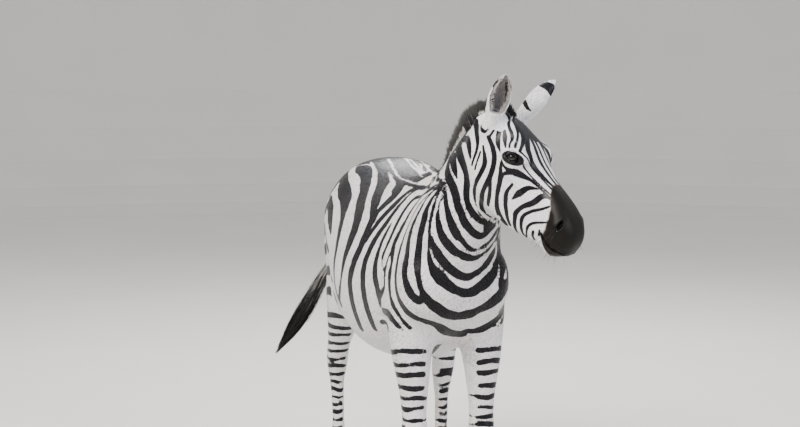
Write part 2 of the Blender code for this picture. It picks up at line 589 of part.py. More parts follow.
def flat_cuts():
    """Every flat cut through the flesh: centre, axis across it and reach."""
    found = [NECK_CUT]
    for name, profile, reach in (("fore", FORELEG, 0.135), ("hind", HINDLEG, 0.19)):
        for side, word in ((1, "left"), (-1, "right")):
            stance = STANCE[f"{name}_{word}"]
            height, lean = LEG_CUT[f"{name}_{word}"]
            across = (math.sin(math.radians(lean)), 0.0, math.cos(math.radians(lean)))
            found.append((leg_middle(profile, height, side, stance), across, reach))
            found.append((leg_middle(profile, CANNON_CUT[name], side, stance), (0, 0, 1.0), 0.10))
            point, normal = coronet(name)
            found.append((hoof_middle(name, side) + point, normal, 0.08))
    for t in (TAIL_ROOT, TAIL_HAIR):
        near, here, far = smooth_curve(TAIL_LINE, [t - 0.01, t, t + 0.01])
        found.append((swayed([here])[0], far - near, 0.06))
    return found


def add_object(name, mesh):
    obj = bpy.data.objects.new(name, mesh)
    bpy.context.scene.collection.objects.link(obj)
    return obj


def add_cutter(name, points, faces):
    obj = add_object(name, outward(mesh_from(name, points, faces)))
    obj.hide_render = True
    obj.display_type = "WIRE"
    return obj


def cut_with(obj, cutter):
    cut = obj.modifiers.new("cut", "BOOLEAN")
    cut.operation = "DIFFERENCE"
    cut.solver = "EXACT"
    cut.object = cutter


def sphere(centre, radius, rows=10, count=16):
    rings = []
    for polar in np.linspace(0, math.pi, rows + 1)[1:-1]:
        ring = oval(radius * math.sin(polar), radius * math.sin(polar), radius * math.sin(polar), count=count)
        flat = np.stack([ring[:, 0], ring[:, 1], np.full(count, radius * math.cos(polar))], 1)
        rings.append(flat + centre)
    points, faces = loft(rings)
    points[-2] = centre + [0, 0, radius]
    points[-1] = centre - [0, 0, radius]
    return points, faces


def eye_centre(side):
    u, y, z = EYE_CENTRE
    return in_head([(u, side * y, z)])[0]


def islands(work):
    """The separate pieces of a bmesh, as (points, faces)."""
    work.verts.index_update()
    label = np.full(len(work.verts), -1)
    groups = 0
    for start in work.verts:
        if label[start.index] >= 0:
            continue
        stack = [start]
        label[start.index] = groups
        while stack:
            vert = stack.pop()
            for edge in vert.link_edges:
                other = edge.other_vert(vert)
                if label[other.index] < 0:
                    label[other.index] = groups
                    stack.append(other)
        groups += 1
    points = np.array([v.co for v in work.verts])
    found = []
    for group in range(groups):
        chosen = np.flatnonzero(label == group)
        index = {int(v): i for i, v in enumerate(chosen)}
        faces = [[index[v.index] for v in f.verts] for f in work.faces if label[f.verts[0].index] == group]
        found.append((points[chosen], faces))
    return found


def anchors():
    """A point inside each flesh node, by name; pieces nearest to none of these are the stubs inside the hooves."""
    found = {"trunk": (0.0, 0.0, 0.95), "neck": (0.60, 0.04, 1.25), "head": tuple(in_head([(0.18, 0, -0.1)])[0])}
    for side, word in ((1, "left"), (-1, "right")):
        for name, profile, high, low in (("fore", FORELEG, 0.52, 0.22), ("hind", HINDLEG, 0.60, 0.28)):
            stance = STANCE[f"{name}_{word}"]
            found[f"{name}leg_{word}"] = tuple(leg_middle(profile, high, side, stance))
            found[f"{name}cannon_{word}"] = tuple(leg_middle(profile, low, side, stance))
            found[f"stub_{name}_{word}"] = tuple(hoof_middle(name, side) + [0, 0, 0.01])
    found["tail_dock"] = tuple(swayed(smooth_curve(TAIL_LINE, [0.30]))[0])
    found["stub_tail"] = tuple(swayed(smooth_curve(TAIL_LINE, [0.53]))[0])
    return found


REFERENCE = {
    "trunk": (0.0, 0.0, 0.95), "neck": (0.512, 0.012, 1.165), "head": POLL, "mane": (0.335, 0.008, 1.290),
}
FINISH = {
    "coat": ((0.62, 0.61, 0.60), 0.75), "mane_hair": ((0.10, 0.10, 0.11), 0.80), "tail_hair": ((0.05, 0.05, 0.055), 0.75),
    "hoof_horn": ((0.07, 0.06, 0.055), 0.45), "eye": ((0.02, 0.014, 0.010), 0.10),
}


def material(node, kind):
    colour, roughness = FINISH[kind]
    made = bpy.data.materials.new(f"{node}_{kind}")
    made.use_nodes = True
    shader = made.node_tree.nodes["Principled BSDF"]
    shader.inputs["Base Color"].default_value = (*colour, 1)
    shader.inputs["Roughness"].default_value = roughness
    return made


def add_node(name, points, faces, kind, reference):
    """One finished node, its own origin at `reference`, moved so the model's origin is under its middle."""
    points = np.asarray(points, float)
    mesh = outward(mesh_from(name, points - reference, faces))
    mesh.materials.append(material(name, kind))
    obj = add_object(name, mesh)
    obj.location = Vector(reference) - Vector(ORIGIN)
    return obj


def add_flesh():
    """The body, neck, head, legs and dock, cut from one skin. Returns the whole skin before cutting."""
    points, faces = joined(flesh_surfaces())
    skin = relax(remeshed(points, faces, SKIN_VOXEL))
    whole = add_object("whole", skin)
    thin = whole.modifiers.new("thin", "DECIMATE")
    thin.ratio = FLESH_TRIANGLES / (2 * len(skin.polygons))
    light = evaluated(whole)
    bpy.data.objects.remove(whole)
    blank = add_object("blank", light)
    cutters = []
    for side, word in ((1, "left"), (-1, "right")):
        cutters.append(add_cutter(f"socket_{word}", *sphere(eye_centre(side), EYE_RADIUS + 0.0003)))
        cutters.append(add_cutter(f"ear_seat_{word}", *ear_seat(word)))
    cutters.append(add_cutter("cut_jaw", *jaw_sheet()))
    for cutter in cutters:
        cut_with(blank, cutter)
    work = bmesh.new()
    work.from_mesh(evaluated(blank))
    for obj in [blank, *cutters]:
        bpy.data.objects.remove(obj)
    for centre, axis, reach in flat_cuts():
        part_across(work, centre, axis, reach)
    pieces = islands(work)
    work.free()
    places = anchors()
    for piece_points, piece_faces in pieces:
        low, high = piece_points.min(0), piece_points.max(0)
        middle = 0.5 * (low + high)
        name = min(places, key=lambda n: np.linalg.norm(np.array(places[n]) - middle))
        if not name.startswith("stub_"):
            add_node(name, piece_points, piece_faces, "coat", REFERENCE.get(name, places[name]))
    return light


def add_mane(light):
    """The upright mane and forelock, standing clear of the crest by half a millimetre."""
    grown = light.copy()
    count = len(grown.vertices)
    co = np.empty(count * 3, np.float32)
    out = np.empty(count * 3, np.float32)
    grown.vertices.foreach_get("co", co)
    grown.vertex_normals.foreach_get("vector", out)
    grown.vertices.foreach_set("co", co + 0.0006 * out)
    grown.update()
    mane = add_object("mane_blank", outward(mesh_from("mane_blank", *loft(mane_rings()))))
    cutter = add_object("mane_foot", grown)
    cut_with(mane, cutter)
    work = bmesh.new()
    work.from_mesh(evaluated(mane))
    pieces = sorted(islands(work), key=lambda piece: -len(piece[0]))
    work.free()
    bpy.data.objects.remove(mane)
    bpy.data.objects.remove(cutter)
    add_node("mane", *pieces[0], "mane_hair", REFERENCE["mane"])


def main():
    for obj in list(bpy.data.objects):
        bpy.data.objects.remove(obj)
    light = add_flesh()
    add_mane(light)
    for side in EARS:
        add_node(f"ear_{side}", *loft(ear_rings(side)), "coat", ear_frame(side)[0])
    for side, word in ((1, "left"), (-1, "right")):
        add_node(f"eye_{word}", *sphere(eye_centre(side), EYE_RADIUS), "eye", eye_centre(side))
        for name in HOOF:
            add_node(f"{name}hoof_{word}", *loft(hoof_rings(name, side)), "hoof_horn", hoof_middle(name, side))
    steps = np.linspace(TAIL_HAIR + 0.002, 1.0, 13)
    points, faces = tube(TAIL_LINE, TUFT_RADIUS, steps, count=14)
    add_node("tail_tuft", swayed(points), faces, "tail_hair", swayed(smooth_curve(TAIL_LINE, [TAIL_HAIR]))[0])


if __name__ == "__main__":
    main()
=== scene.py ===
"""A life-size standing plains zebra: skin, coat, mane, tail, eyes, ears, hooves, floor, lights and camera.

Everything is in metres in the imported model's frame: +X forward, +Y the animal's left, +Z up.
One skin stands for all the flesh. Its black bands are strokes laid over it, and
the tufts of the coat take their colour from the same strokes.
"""

import logging
import math
from dataclasses import dataclass, field
from enum import Enum

import bmesh
import bpy
import numpy as np
from mathutils import Matrix, Vector, noise
from mathutils.bvhtree import BVHTree


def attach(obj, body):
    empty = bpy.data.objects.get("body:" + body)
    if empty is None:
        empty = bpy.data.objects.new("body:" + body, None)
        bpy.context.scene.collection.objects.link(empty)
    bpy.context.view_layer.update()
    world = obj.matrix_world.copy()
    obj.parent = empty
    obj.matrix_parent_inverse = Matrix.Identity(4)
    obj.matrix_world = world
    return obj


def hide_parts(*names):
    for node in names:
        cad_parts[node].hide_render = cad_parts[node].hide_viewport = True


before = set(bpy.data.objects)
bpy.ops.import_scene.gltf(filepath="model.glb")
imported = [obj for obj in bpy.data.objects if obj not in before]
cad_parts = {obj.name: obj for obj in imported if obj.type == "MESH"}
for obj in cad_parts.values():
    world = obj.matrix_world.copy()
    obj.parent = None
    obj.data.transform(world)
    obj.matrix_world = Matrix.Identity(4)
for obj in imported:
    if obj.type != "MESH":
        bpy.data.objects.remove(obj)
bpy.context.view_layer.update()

log = logging.getLogger("zebra")
Keys = dict[float, float | tuple[float, ...]]
Surface = tuple[np.ndarray, list[tuple[int, ...]]]
Path = tuple[tuple[float, float], ...]
ORIGIN = np.array([0.0921, -0.0296, 0.0])  # the model's middle, in the frame that the profiles below use
SEED = 11
CAMERA_AT = (5.7035, -1.5233, 1.75)  # where the main camera stands
CAMERA_TURN, CAMERA_TILT = 165.4436, -6.0  # degrees that it looks round from +X, and up


# ---------------------------------------------------------------- small geometry tools


def smooth_curve(keys: Keys, at: np.ndarray | list[float]) -> np.ndarray:
    """Values on a smooth curve through keyed positions.

    Args:
        keys: the value at each known position.
        at: the positions wanted; those outside the keys take the end values.

    Returns:
        One value, or one row of values, for each position.
    """
    places = np.array(sorted(keys), float)
    values = np.array([keys[p] for p in sorted(keys)], float)
    slopes = np.gradient(values, places, axis=0)
    at = np.clip(np.asarray(at, float), places[0], places[-1])
    left = np.clip(np.searchsorted(places, at, side="right") - 1, 0, len(places) - 2)
    step = places[left + 1] - places[left]
    s = (at - places[left]) / step
    if values.ndim == 2:
        s, step = s[:, None], step[:, None]
    return (
        values[left] * (1 + 2 * s) * (1 - s) ** 2
        + slopes[left] * step * s * (1 - s) ** 2
        + values[left + 1] * s**2 * (3 - 2 * s)
        + slopes[left + 1] * step * s**2 * (s - 1)
    )


def step_between(low: float, high: float, x: np.ndarray) -> np.ndarray:
    """A smooth step from 0 at low to 1 at high."""
    s = np.clip((x - low) / (high - low), 0, 1)
    return s * s * (3 - 2 * s)


def unit(vectors: np.ndarray) -> np.ndarray:
    """Vectors scaled to length one, along the last axis."""
    length = np.linalg.norm(vectors, axis=-1, keepdims=True)
    return vectors / np.maximum(length, 1e-12)


def oval(half: float, above: float, below: float, crest: float = 2.0, keel: float = 2.0,
         count: int = 40) -> np.ndarray:
    """A ring of (sideways, upwards) points.

    Args:
        half: half the width.
        above: reach upwards.
        below: reach downwards.
        crest: how square the upper half is; 2 is round.
        keel: how square the lower half is.
        count: points round the ring.

    Returns:
        An array of count by 2.
    """
    angle = np.linspace(0, 2 * math.pi, count, endpoint=False)
    c, s = np.cos(angle), np.sin(angle)
    power = np.where(s >= 0, 2 / crest, 2 / keel)
    height = np.where(s >= 0, above, below)
    return np.stack([half * np.sign(c) * np.abs(c) ** power, height * np.sign(s) * np.abs(s) ** power], 1)


def placed_ring(ring: np.ndarray, centre: np.ndarray, side: np.ndarray, up: np.ndarray) -> np.ndarray:
    """A ring stood in space on its centre and two directions."""
    return centre + ring[:, :1] * side + ring[:, 1:] * up


def loft(rings: list[np.ndarray]) -> Surface:
    """The closed surface over rings of equal count, its ends fanned shut."""
    stack = np.array(rings)
    rows, count = stack.shape[:2]
    points = np.concatenate([stack.reshape(-1, 3), [stack[0].mean(0), stack[-1].mean(0)]])
    faces: list[tuple[int, ...]] = []
    for i in range(rows - 1):
        for j in range(count):
            k = (j + 1) % count
            faces.append((i * count + j, i * count + k, (i + 1) * count + k, (i + 1) * count + j))
    last = (rows - 1) * count
    for j in range(count):
        k = (j + 1) % count
        faces.append((rows * count, k, j))
        faces.append((rows * count + 1, last + j, last + k))
    return points, faces


def ellipsoid(centre: tuple, radii: tuple, lean: float = 0.0, tilt: float = 0.0) -> Surface:
    """A closed ellipsoid, leaned about the sideways axis, then tilted about the lengthwise one."""
    turn = np.array(Matrix.Rotation(math.radians(tilt), 3, "X") @ Matrix.Rotation(math.radians(lean), 3, "Y"))
    rings = []
    for polar in np.linspace(0.02, math.pi - 0.02, 18):
        reach = math.sin(polar)
        ring = oval(radii[0] * reach, radii[1] * reach, radii[1] * reach, count=28)
        flat = np.stack([ring[:, 0], ring[:, 1], np.full(28, radii[2] * math.cos(polar))], 1)
        rings.append(flat @ turn.T + np.array(centre))
    return loft(rings)


def joined(surfaces: list[Surface]) -> Surface:
    """Several surfaces as one."""
    points, faces, start = [], [], 0
    for part_points, part_faces in surfaces:
        points.append(np.asarray(part_points))
        faces += [tuple(start + i for i in face) for face in part_faces]
        start += len(part_points)
    return np.concatenate(points), faces


# ---------------------------------------------------------------- mesh tools


def mesh_from(name: str, points: np.ndarray, faces: list[tuple[int, ...]]) -> bpy.types.Mesh:
    """A mesh with its faces turned outwards."""
    mesh = bpy.data.meshes.new(name)
    mesh.from_pydata([tuple(p) for p in points], [], faces)
    work = bmesh.new()
    work.from_mesh(mesh)
    bmesh.ops.recalc_face_normals(work, faces=work.faces)
    work.to_mesh(mesh)
    work.free()
    return mesh


def triangle_mesh(name: str, points: np.ndarray, triangles: np.ndarray) -> bpy.types.Mesh:
    """A mesh of triangles straight from arrays."""
    mesh = bpy.data.meshes.new(name)
    mesh.vertices.add(len(points))
    mesh.vertices.foreach_set("co", np.asarray(points, np.float32).ravel())
    mesh.loops.add(3 * len(triangles))
    mesh.loops.foreach_set("vertex_index", triangles.astype(np.int32).ravel())
    mesh.polygons.add(len(triangles))
    mesh.polygons.foreach_set("loop_start", np.arange(0, 3 * len(triangles), 3, dtype=np.int32))
    mesh.update(calc_edges=True)
    mesh.polygons.foreach_set("use_smooth", np.ones(len(triangles), bool))
    return mesh


def coordinates(mesh: bpy.types.Mesh) -> np.ndarray:
    """A mesh's vertices as an array of n by 3."""
    found = np.empty(3 * len(mesh.vertices), np.float32)
    mesh.vertices.foreach_get("co", found)
    return found.reshape(-1, 3).astype(float)


def set_coordinates(mesh: bpy.types.Mesh, points: np.ndarray) -> None:
    """Moves a mesh's vertices to new points."""
    mesh.vertices.foreach_set("co", points.astype(np.float32).ravel())
    mesh.update()


def normals(mesh: bpy.types.Mesh) -> np.ndarray:
    """A mesh's vertex normals."""
    found = np.empty(3 * len(mesh.vertices), np.float32)
    mesh.vertex_normals.foreach_get("vector", found)
    return found.reshape(-1, 3).astype(float)


def set_attribute(mesh: bpy.types.Mesh, name: str, values: np.ndarray) -> None:
    """Stores one number at each vertex."""
    made = mesh.attributes.get(name) or mesh.attributes.new(name, "FLOAT", "POINT")
    made.data.foreach_set("value", np.asarray(values, np.float32))


def add_object(name: str, mesh: bpy.types.Mesh) -> bpy.types.Object:
    """An object at the origin that shows a mesh."""
    obj = bpy.data.objects.new(name, mesh)
    bpy.context.scene.collection.objects.link(obj)
    return obj


def evaluated(obj: bpy.types.Object) -> bpy.types.Mesh:
    """A new mesh: the object with its modifiers applied."""
    graph = bpy.context.evaluated_depsgraph_get()
    return bpy.data.meshes.new_from_object(obj.evaluated_get(graph), depsgraph=graph)


def remeshed(surface: Surface, voxel: float) -> bpy.types.Mesh:
    """One even skin of quads round overlapping closed surfaces."""
    obj = add_object("lofts", mesh_from("lofts", *surface))
    remesh = obj.modifiers.new("grow", "REMESH")
    remesh.mode = "VOXEL"
    remesh.voxel_size = voxel
    made = evaluated(obj)
    bpy.data.objects.remove(obj)
    return made


class Relaxer:
    """Pulls a mesh's points towards their neighbours."""

    def __init__(self, mesh: bpy.types.Mesh) -> None:
        """Reads the mesh's edges once."""
        self.mesh = mesh
        self.count = len(mesh.vertices)
        edges = np.empty(2 * len(mesh.edges), np.int32)
        mesh.edges.foreach_get("vertices", edges)
        self.a, self.b = edges.reshape(-1, 2).T
        self.valence = np.bincount(self.a, minlength=self.count) + np.bincount(self.b, minlength=self.count)

    def pull(self, values: np.ndarray) -> np.ndarray:
        """From each point to the mean of its neighbours."""
        total = np.empty_like(values)
        for k in range(values.shape[1]):
            total[:, k] = np.bincount(self.a, values[self.b, k], self.count)
            total[:, k] += np.bincount(self.b, values[self.a, k], self.count)
        return total / self.valence[:, None] - values

    def fill_creases(self, steps: int, share: np.ndarray, soft: np.ndarray | None = None,
                     after: int = 30) -> None:
        """Fills hollows between lofts.

        Args:
            steps: how many times the points move.
            share: how strongly each may move, from 0 to 1.
            soft: shares that hold after the first steps.
            after: how many first steps those are.
        """
        co = coordinates(self.mesh)
        for step in range(steps):
            if step % 4 == 0:
                set_coordinates(self.mesh, co)
                out = normals(self.mesh)
            move = self.pull(co)
            lift = (move * out).sum(1)
            limit = share if soft is None or step < after else np.minimum(share, soft)
            co += move * (np.where(lift > 0, 0.6, 0.06) * limit)[:, None]
        set_coordinates(self.mesh, co)

    def soften(self, steps: int, share: np.ndarray) -> None:
        """Smooths without shrinking."""
        co = coordinates(self.mesh)
        for _ in range(steps):
            co += 0.55 * share[:, None] * self.pull(co)
            co -= 0.57 * share[:, None] * self.pull(co)
        set_coordinates(self.mesh, co)


# ---------------------------------------------------------------- the animal's shape


def swayed(points: np.ndarray) -> np.ndarray:
    """Points moved sideways with the bow of the spine."""
    bow = {-0.80: 0.020, -0.55: 0.023, -0.35: 0.023, -0.15: 0.016, 0.05: 0.006, 0.25: 0.0, 0.70: 0.0}
    moved = np.array(points, float)
    moved[:, 1] += smooth_curve(bow, moved[:, 0])
    return moved


@dataclass
class Trunk:
    """The barrel, from the buttocks to the breast, keyed by x."""

    top: Keys = field(default_factory=lambda: {
        -0.70: 1.02, -0.68: 1.10, -0.63: 1.185, -0.56: 1.245, -0.45: 1.290, -0.34: 1.300, -0.20: 1.275,
        -0.05: 1.258,
        0.10: 1.268, 0.22: 1.290, 0.30: 1.302, 0.37: 1.290, 0.46: 1.20, 0.55: 1.09, 0.60: 1.02, 0.64: 0.965})
    bottom: Keys = field(default_factory=lambda: {
        -0.70: 0.97, -0.68: 0.93, -0.63: 0.88, -0.56: 0.835, -0.45: 0.77, -0.34: 0.705, -0.22: 0.642,
        -0.08: 0.606,
        0.08: 0.608, 0.20: 0.640, 0.32: 0.690, 0.44: 0.735, 0.53: 0.790, 0.60: 0.86, 0.64: 0.92})
    half_width: Keys = field(default_factory=lambda: {
        -0.70: 0.03, -0.68: 0.09, -0.63: 0.160, -0.56: 0.210, -0.45: 0.252, -0.34: 0.274, -0.20: 0.288,
        -0.05: 0.292,
        0.10: 0.276, 0.22: 0.245, 0.32: 0.218, 0.44: 0.198, 0.54: 0.172, 0.60: 0.130, 0.64: 0.06})
    widest: Keys = field(default_factory=lambda: {
        -0.70: 0.99, -0.63: 1.02, -0.45: 1.04, -0.34: 1.02, -0.20: 0.955, -0.05: 0.930, 0.10: 0.930,
        0.32: 0.940,
        0.54: 0.93, 0.64: 0.94})
    crest: Keys = field(default_factory=lambda: {-0.70: 2.0, -0.45: 2.2, -0.20: 2.1, 0.10: 1.75, 0.30: 1.40,
                                                 0.45: 1.5, 0.64: 2.0})
    keel: Keys = field(default_factory=lambda: {-0.70: 2.0, -0.34: 2.2, 0.0: 2.35, 0.30: 2.1, 0.64: 2.0})
    # Soft masses on both sides: centre, radii, lean back and tilt inward in degrees.
    muscles: dict[str, tuple] = field(default_factory=lambda: {
        "shoulder_blade": ((0.385, 0.108, 1.03), (0.120, 0.060, 0.19), -25, 14),
        "triceps": ((0.360, 0.146, 0.89), (0.14, 0.062, 0.13), 10, 0),
        "shoulder_point": ((0.510, 0.104, 0.940), (0.105, 0.090, 0.14), 12, 0),
        "breast": ((0.545, 0.048, 0.930), (0.085, 0.066, 0.12), 8, 0),
        "rump": ((-0.43, 0.130, 1.07), (0.22, 0.120, 0.18), -8, 10),
        "thigh": ((-0.468, 0.140, 0.955), (0.192, 0.106, 0.21), -14, 0),
        "stifle": ((-0.335, 0.185, 0.82), (0.095, 0.060, 0.13), -15, 0)})

    def surfaces(self) -> list[Surface]:
        """The barrel and the muscles over it."""
        rings = []
        for x in np.arange(-0.699, 0.640, 0.012):
            top, bottom, middle, half, crest, keel = (
                float(smooth_curve(k, [x])[0])
                for k in (self.top, self.bottom, self.widest, self.half_width, self.crest, self.keel))
            ring = oval(half, top - middle, middle - bottom, crest, keel, count=72)
            rings.append(placed_ring(ring, np.array([x, 0, middle]), np.array([0, 1, 0]),
                                     np.array([0, 0, 1])))
        found = [loft(rings)]
        for centre, radii, lean, tilt in self.muscles.values():
            for side in (1, -1):
                found.append(ellipsoid((centre[0], side * centre[1], centre[2]), radii, lean, side * tilt))
        return found


@dataclass
class Neck:
    """The neck, keyed from deep in the shoulders (0) to the back of the skull (1)."""

    crest_line: Keys = field(default_factory=lambda: {
        0.0: (0.250, 0.0, 1.235), 0.2: (0.372, 0.016, 1.308), 0.4: (0.452, 0.040, 1.378),
        0.6: (0.512, 0.056, 1.438),
        0.8: (0.578, 0.074, 1.482), 1.0: (0.655, 0.096, 1.505)})
    throat_line: Keys = field(default_factory=lambda: {
        0.0: (0.580, 0.0, 0.860), 0.2: (0.640, 0.0, 0.985), 0.4: (0.680, 0.014, 1.085),
        0.6: (0.700, 0.036, 1.175),
        0.8: (0.695, 0.055, 1.245), 1.0: (0.685, 0.072, 1.300)})
    half_width: Keys = field(default_factory=lambda: {0.0: 0.165, 0.2: 0.155, 0.4: 0.128, 0.6: 0.102,
                                                      0.8: 0.086, 1.0: 0.078})
    crest: Keys = field(default_factory=lambda: {0.0: 1.35, 0.4: 1.35, 0.7: 1.5, 1.0: 1.8})
    widest: Keys = field(default_factory=lambda: {0.0: 0.44, 0.4: 0.42, 1.0: 0.48})
    length: float = 0.55

    def frames(self, steps: np.ndarray) -> tuple[np.ndarray, ...]:
        """Throat point, depth, widest share, side, up and ahead of each ring."""
        crests, throats = smooth_curve(self.crest_line, steps), smooth_curve(self.throat_line, steps)
        along = sum(smooth_curve(line, steps + 0.01)
                    - smooth_curve(line, steps - 0.01) for line in (self.crest_line, self.throat_line))
        up = crests - throats
        depth = np.linalg.norm(up, axis=1)
        up = unit(up)
        side = unit(np.cross(up, along))
        return throats, depth, smooth_curve(self.widest, steps), side, up, np.cross(side, up)

    def surface(self) -> Surface:
        """The closed loft of the neck."""
        steps = np.linspace(0, 1, 41)
        rings = []
        for t, throat, depth, share, side, up, _ in zip(steps, *self.frames(steps)):
            half, crest = smooth_curve(self.half_width, [t])[0], smooth_curve(self.crest, [t])[0]
            ring = oval(half, (1 - share) * depth, share * depth, crest, count=64)
            rings.append(placed_ring(ring, throat + share * depth * up, side, up))
        return loft(rings)

    def locate(self, points: np.ndarray) -> tuple[np.ndarray, ...]:
        """Where points of the model lie along and round the neck.

        Args:
            points: points in the model's frame.

        Returns:
            The share along the neck (past 0 and 1 outside it), the reach sideways and upwards
            from the ring's middle, and the ring's sideways direction.
        """
        steps = np.linspace(-0.25, 1.15, 113)
        inside = np.clip(steps, 0, 1)
        throat, depth, share, side, up, ahead = self.frames(inside)
        middle = throat + (share * depth)[:, None] * up
        over = (steps - inside)[:, None] * self.length * ahead
        middle = middle + over
        raw = points + ORIGIN
        gap = raw @ ahead.T - (middle * ahead).sum(1)
        nearest = np.abs(gap).argmin(1)
        offset = raw - middle[nearest]
        return (steps[nearest], (offset * side[nearest]).sum(1), (offset * up[nearest]).sum(1), side[nearest])


@dataclass
class Skull:
    """The head without its ears, in its own frame: u down the face, y left, z out of the forehead."""

    poll: tuple[float, float, float] = (0.740, 0.119, 1.515)
    yaw: float = 37.0
    pitch: float = 51.5
    roll: float = -2.0
    top: Keys = field(default_factory=lambda: {
        -0.05: -0.060, -0.02: -0.022, 0.02: 0.000, 0.08: 0.013, 0.145: 0.016, 0.21: 0.007, 0.28: 0.003,
        0.33: 0.006,
        0.37: 0.005, 0.41: -0.001, 0.44: -0.012, 0.465: -0.030, 0.482: -0.052, 0.490: -0.080})
    bottom: Keys = field(default_factory=lambda: {
        -0.05: -0.115, -0.02: -0.165, 0.02: -0.210, 0.07: -0.237, 0.13: -0.249, 0.19: -0.247, 0.24: -0.237,
        0.29: -0.219, 0.34: -0.194, 0.38: -0.170, 0.41: -0.154, 0.44: -0.149, 0.462: -0.136, 0.480: -0.112,
        0.490: -0.088})
    brow: Keys = field(default_factory=lambda: {
        -0.05: 0.030, 0.0: 0.054, 0.06: 0.069, 0.11: 0.086, 0.15: 0.095, 0.185: 0.084, 0.23: 0.064,
        0.28: 0.057,
        0.33: 0.060, 0.37: 0.066, 0.41: 0.067, 0.44: 0.061, 0.47: 0.044, 0.490: 0.016})
    cheek: Keys = field(default_factory=lambda: {
        -0.05: 0.045, 0.0: 0.068, 0.06: 0.081, 0.12: 0.089, 0.16: 0.092, 0.20: 0.085, 0.25: 0.071,
        0.31: 0.061,
        0.36: 0.062, 0.40: 0.066, 0.435: 0.064, 0.47: 0.049, 0.490: 0.020})
    jaw: Keys = field(default_factory=lambda: {
        -0.05: 0.025, 0.0: 0.045, 0.06: 0.064, 0.12: 0.068, 0.19: 0.062, 0.25: 0.054, 0.31: 0.047,
        0.36: 0.042,
        0.41: 0.043, 0.445: 0.042, 0.475: 0.030, 0.490: 0.012})
    brow_bone: tuple = ((0.152, 0.070, -0.012), (0.050, 0.028, 0.022))

    def matrix(self) -> np.ndarray:
        """The skull's frame in the profiles' frame."""
        turn = (Matrix.Rotation(math.radians(self.yaw), 4, "Z")
                @ Matrix.Rotation(math.radians(self.pitch), 4, "Y")
                @ Matrix.Rotation(math.radians(self.roll), 4, "X"))
        return np.array(Matrix.Translation(self.poll) @ turn)

    def raw(self, points: np.ndarray) -> np.ndarray:
        """Points of the skull's frame in the profiles' frame."""
        turn = self.matrix()
        return np.asarray(points, float) @ turn[:3, :3].T + turn[:3, 3]

    def out(self, points: np.ndarray) -> np.ndarray:
        """Points of the skull's frame in the model's."""
        return self.raw(points) - ORIGIN

    def into(self, points: np.ndarray) -> np.ndarray:
        """Points of the model's frame in the skull's."""
        turn = self.matrix()
        return (np.asarray(points, float) + ORIGIN - turn[:3, 3]) @ turn[:3, :3]

    def directions(self, vectors: np.ndarray, back: bool = False) -> np.ndarray:
        """Directions of the skull's frame in the model's, or back."""
        turn = self.matrix()[:3, :3]
        return np.asarray(vectors, float) @ (turn if back else turn.T)

    def ring(self, u: float, count: int = 64) -> np.ndarray:
        """The head's section at u: forehead, brow, cheek, jaw edge and the hollow between the jaws."""
        top, bottom, brow, cheek, jaw = (
            float(smooth_curve(k, [u])[0]) for k in (self.top, self.bottom, self.brow, self.cheek, self.jaw))
        depth = top - bottom
        half = [(0.0, top), (0.62 * brow, top - 0.03 * depth), (brow, top - 0.20 * depth),
                (cheek, top - 0.48 * depth),
                (0.5 * (cheek + jaw) + 0.006, top - 0.80 * depth), (0.72 * jaw, bottom + 0.03 * depth),
                (0.0, bottom)]
        loop = half + [(-y, z) for y, z in half[-2:0:-1]]
        loop = loop + loop[:1]
        wrapped = {float(i): p for i, p in enumerate(loop[-4:-1] + loop + loop[1:4])}
        return smooth_curve(wrapped, np.linspace(3, 3 + len(loop) - 1, count, endpoint=False))

    def surfaces(self) -> list[Surface]:
        """The skull's loft and the bone over each eye."""
        rings = []
        for u in np.linspace(-0.05, 0.4899, 110):
            ring = self.ring(u)
            rings.append(self.raw(np.stack([np.full(len(ring), u), -ring[:, 0], ring[:, 1]], 1)))
        found = [loft(rings)]
        centre, radii = self.brow_bone
        for side in (1, -1):
            points, faces = ellipsoid((centre[0], side * centre[1], centre[2]), radii)
            found.append((self.raw(points), faces))
        return found


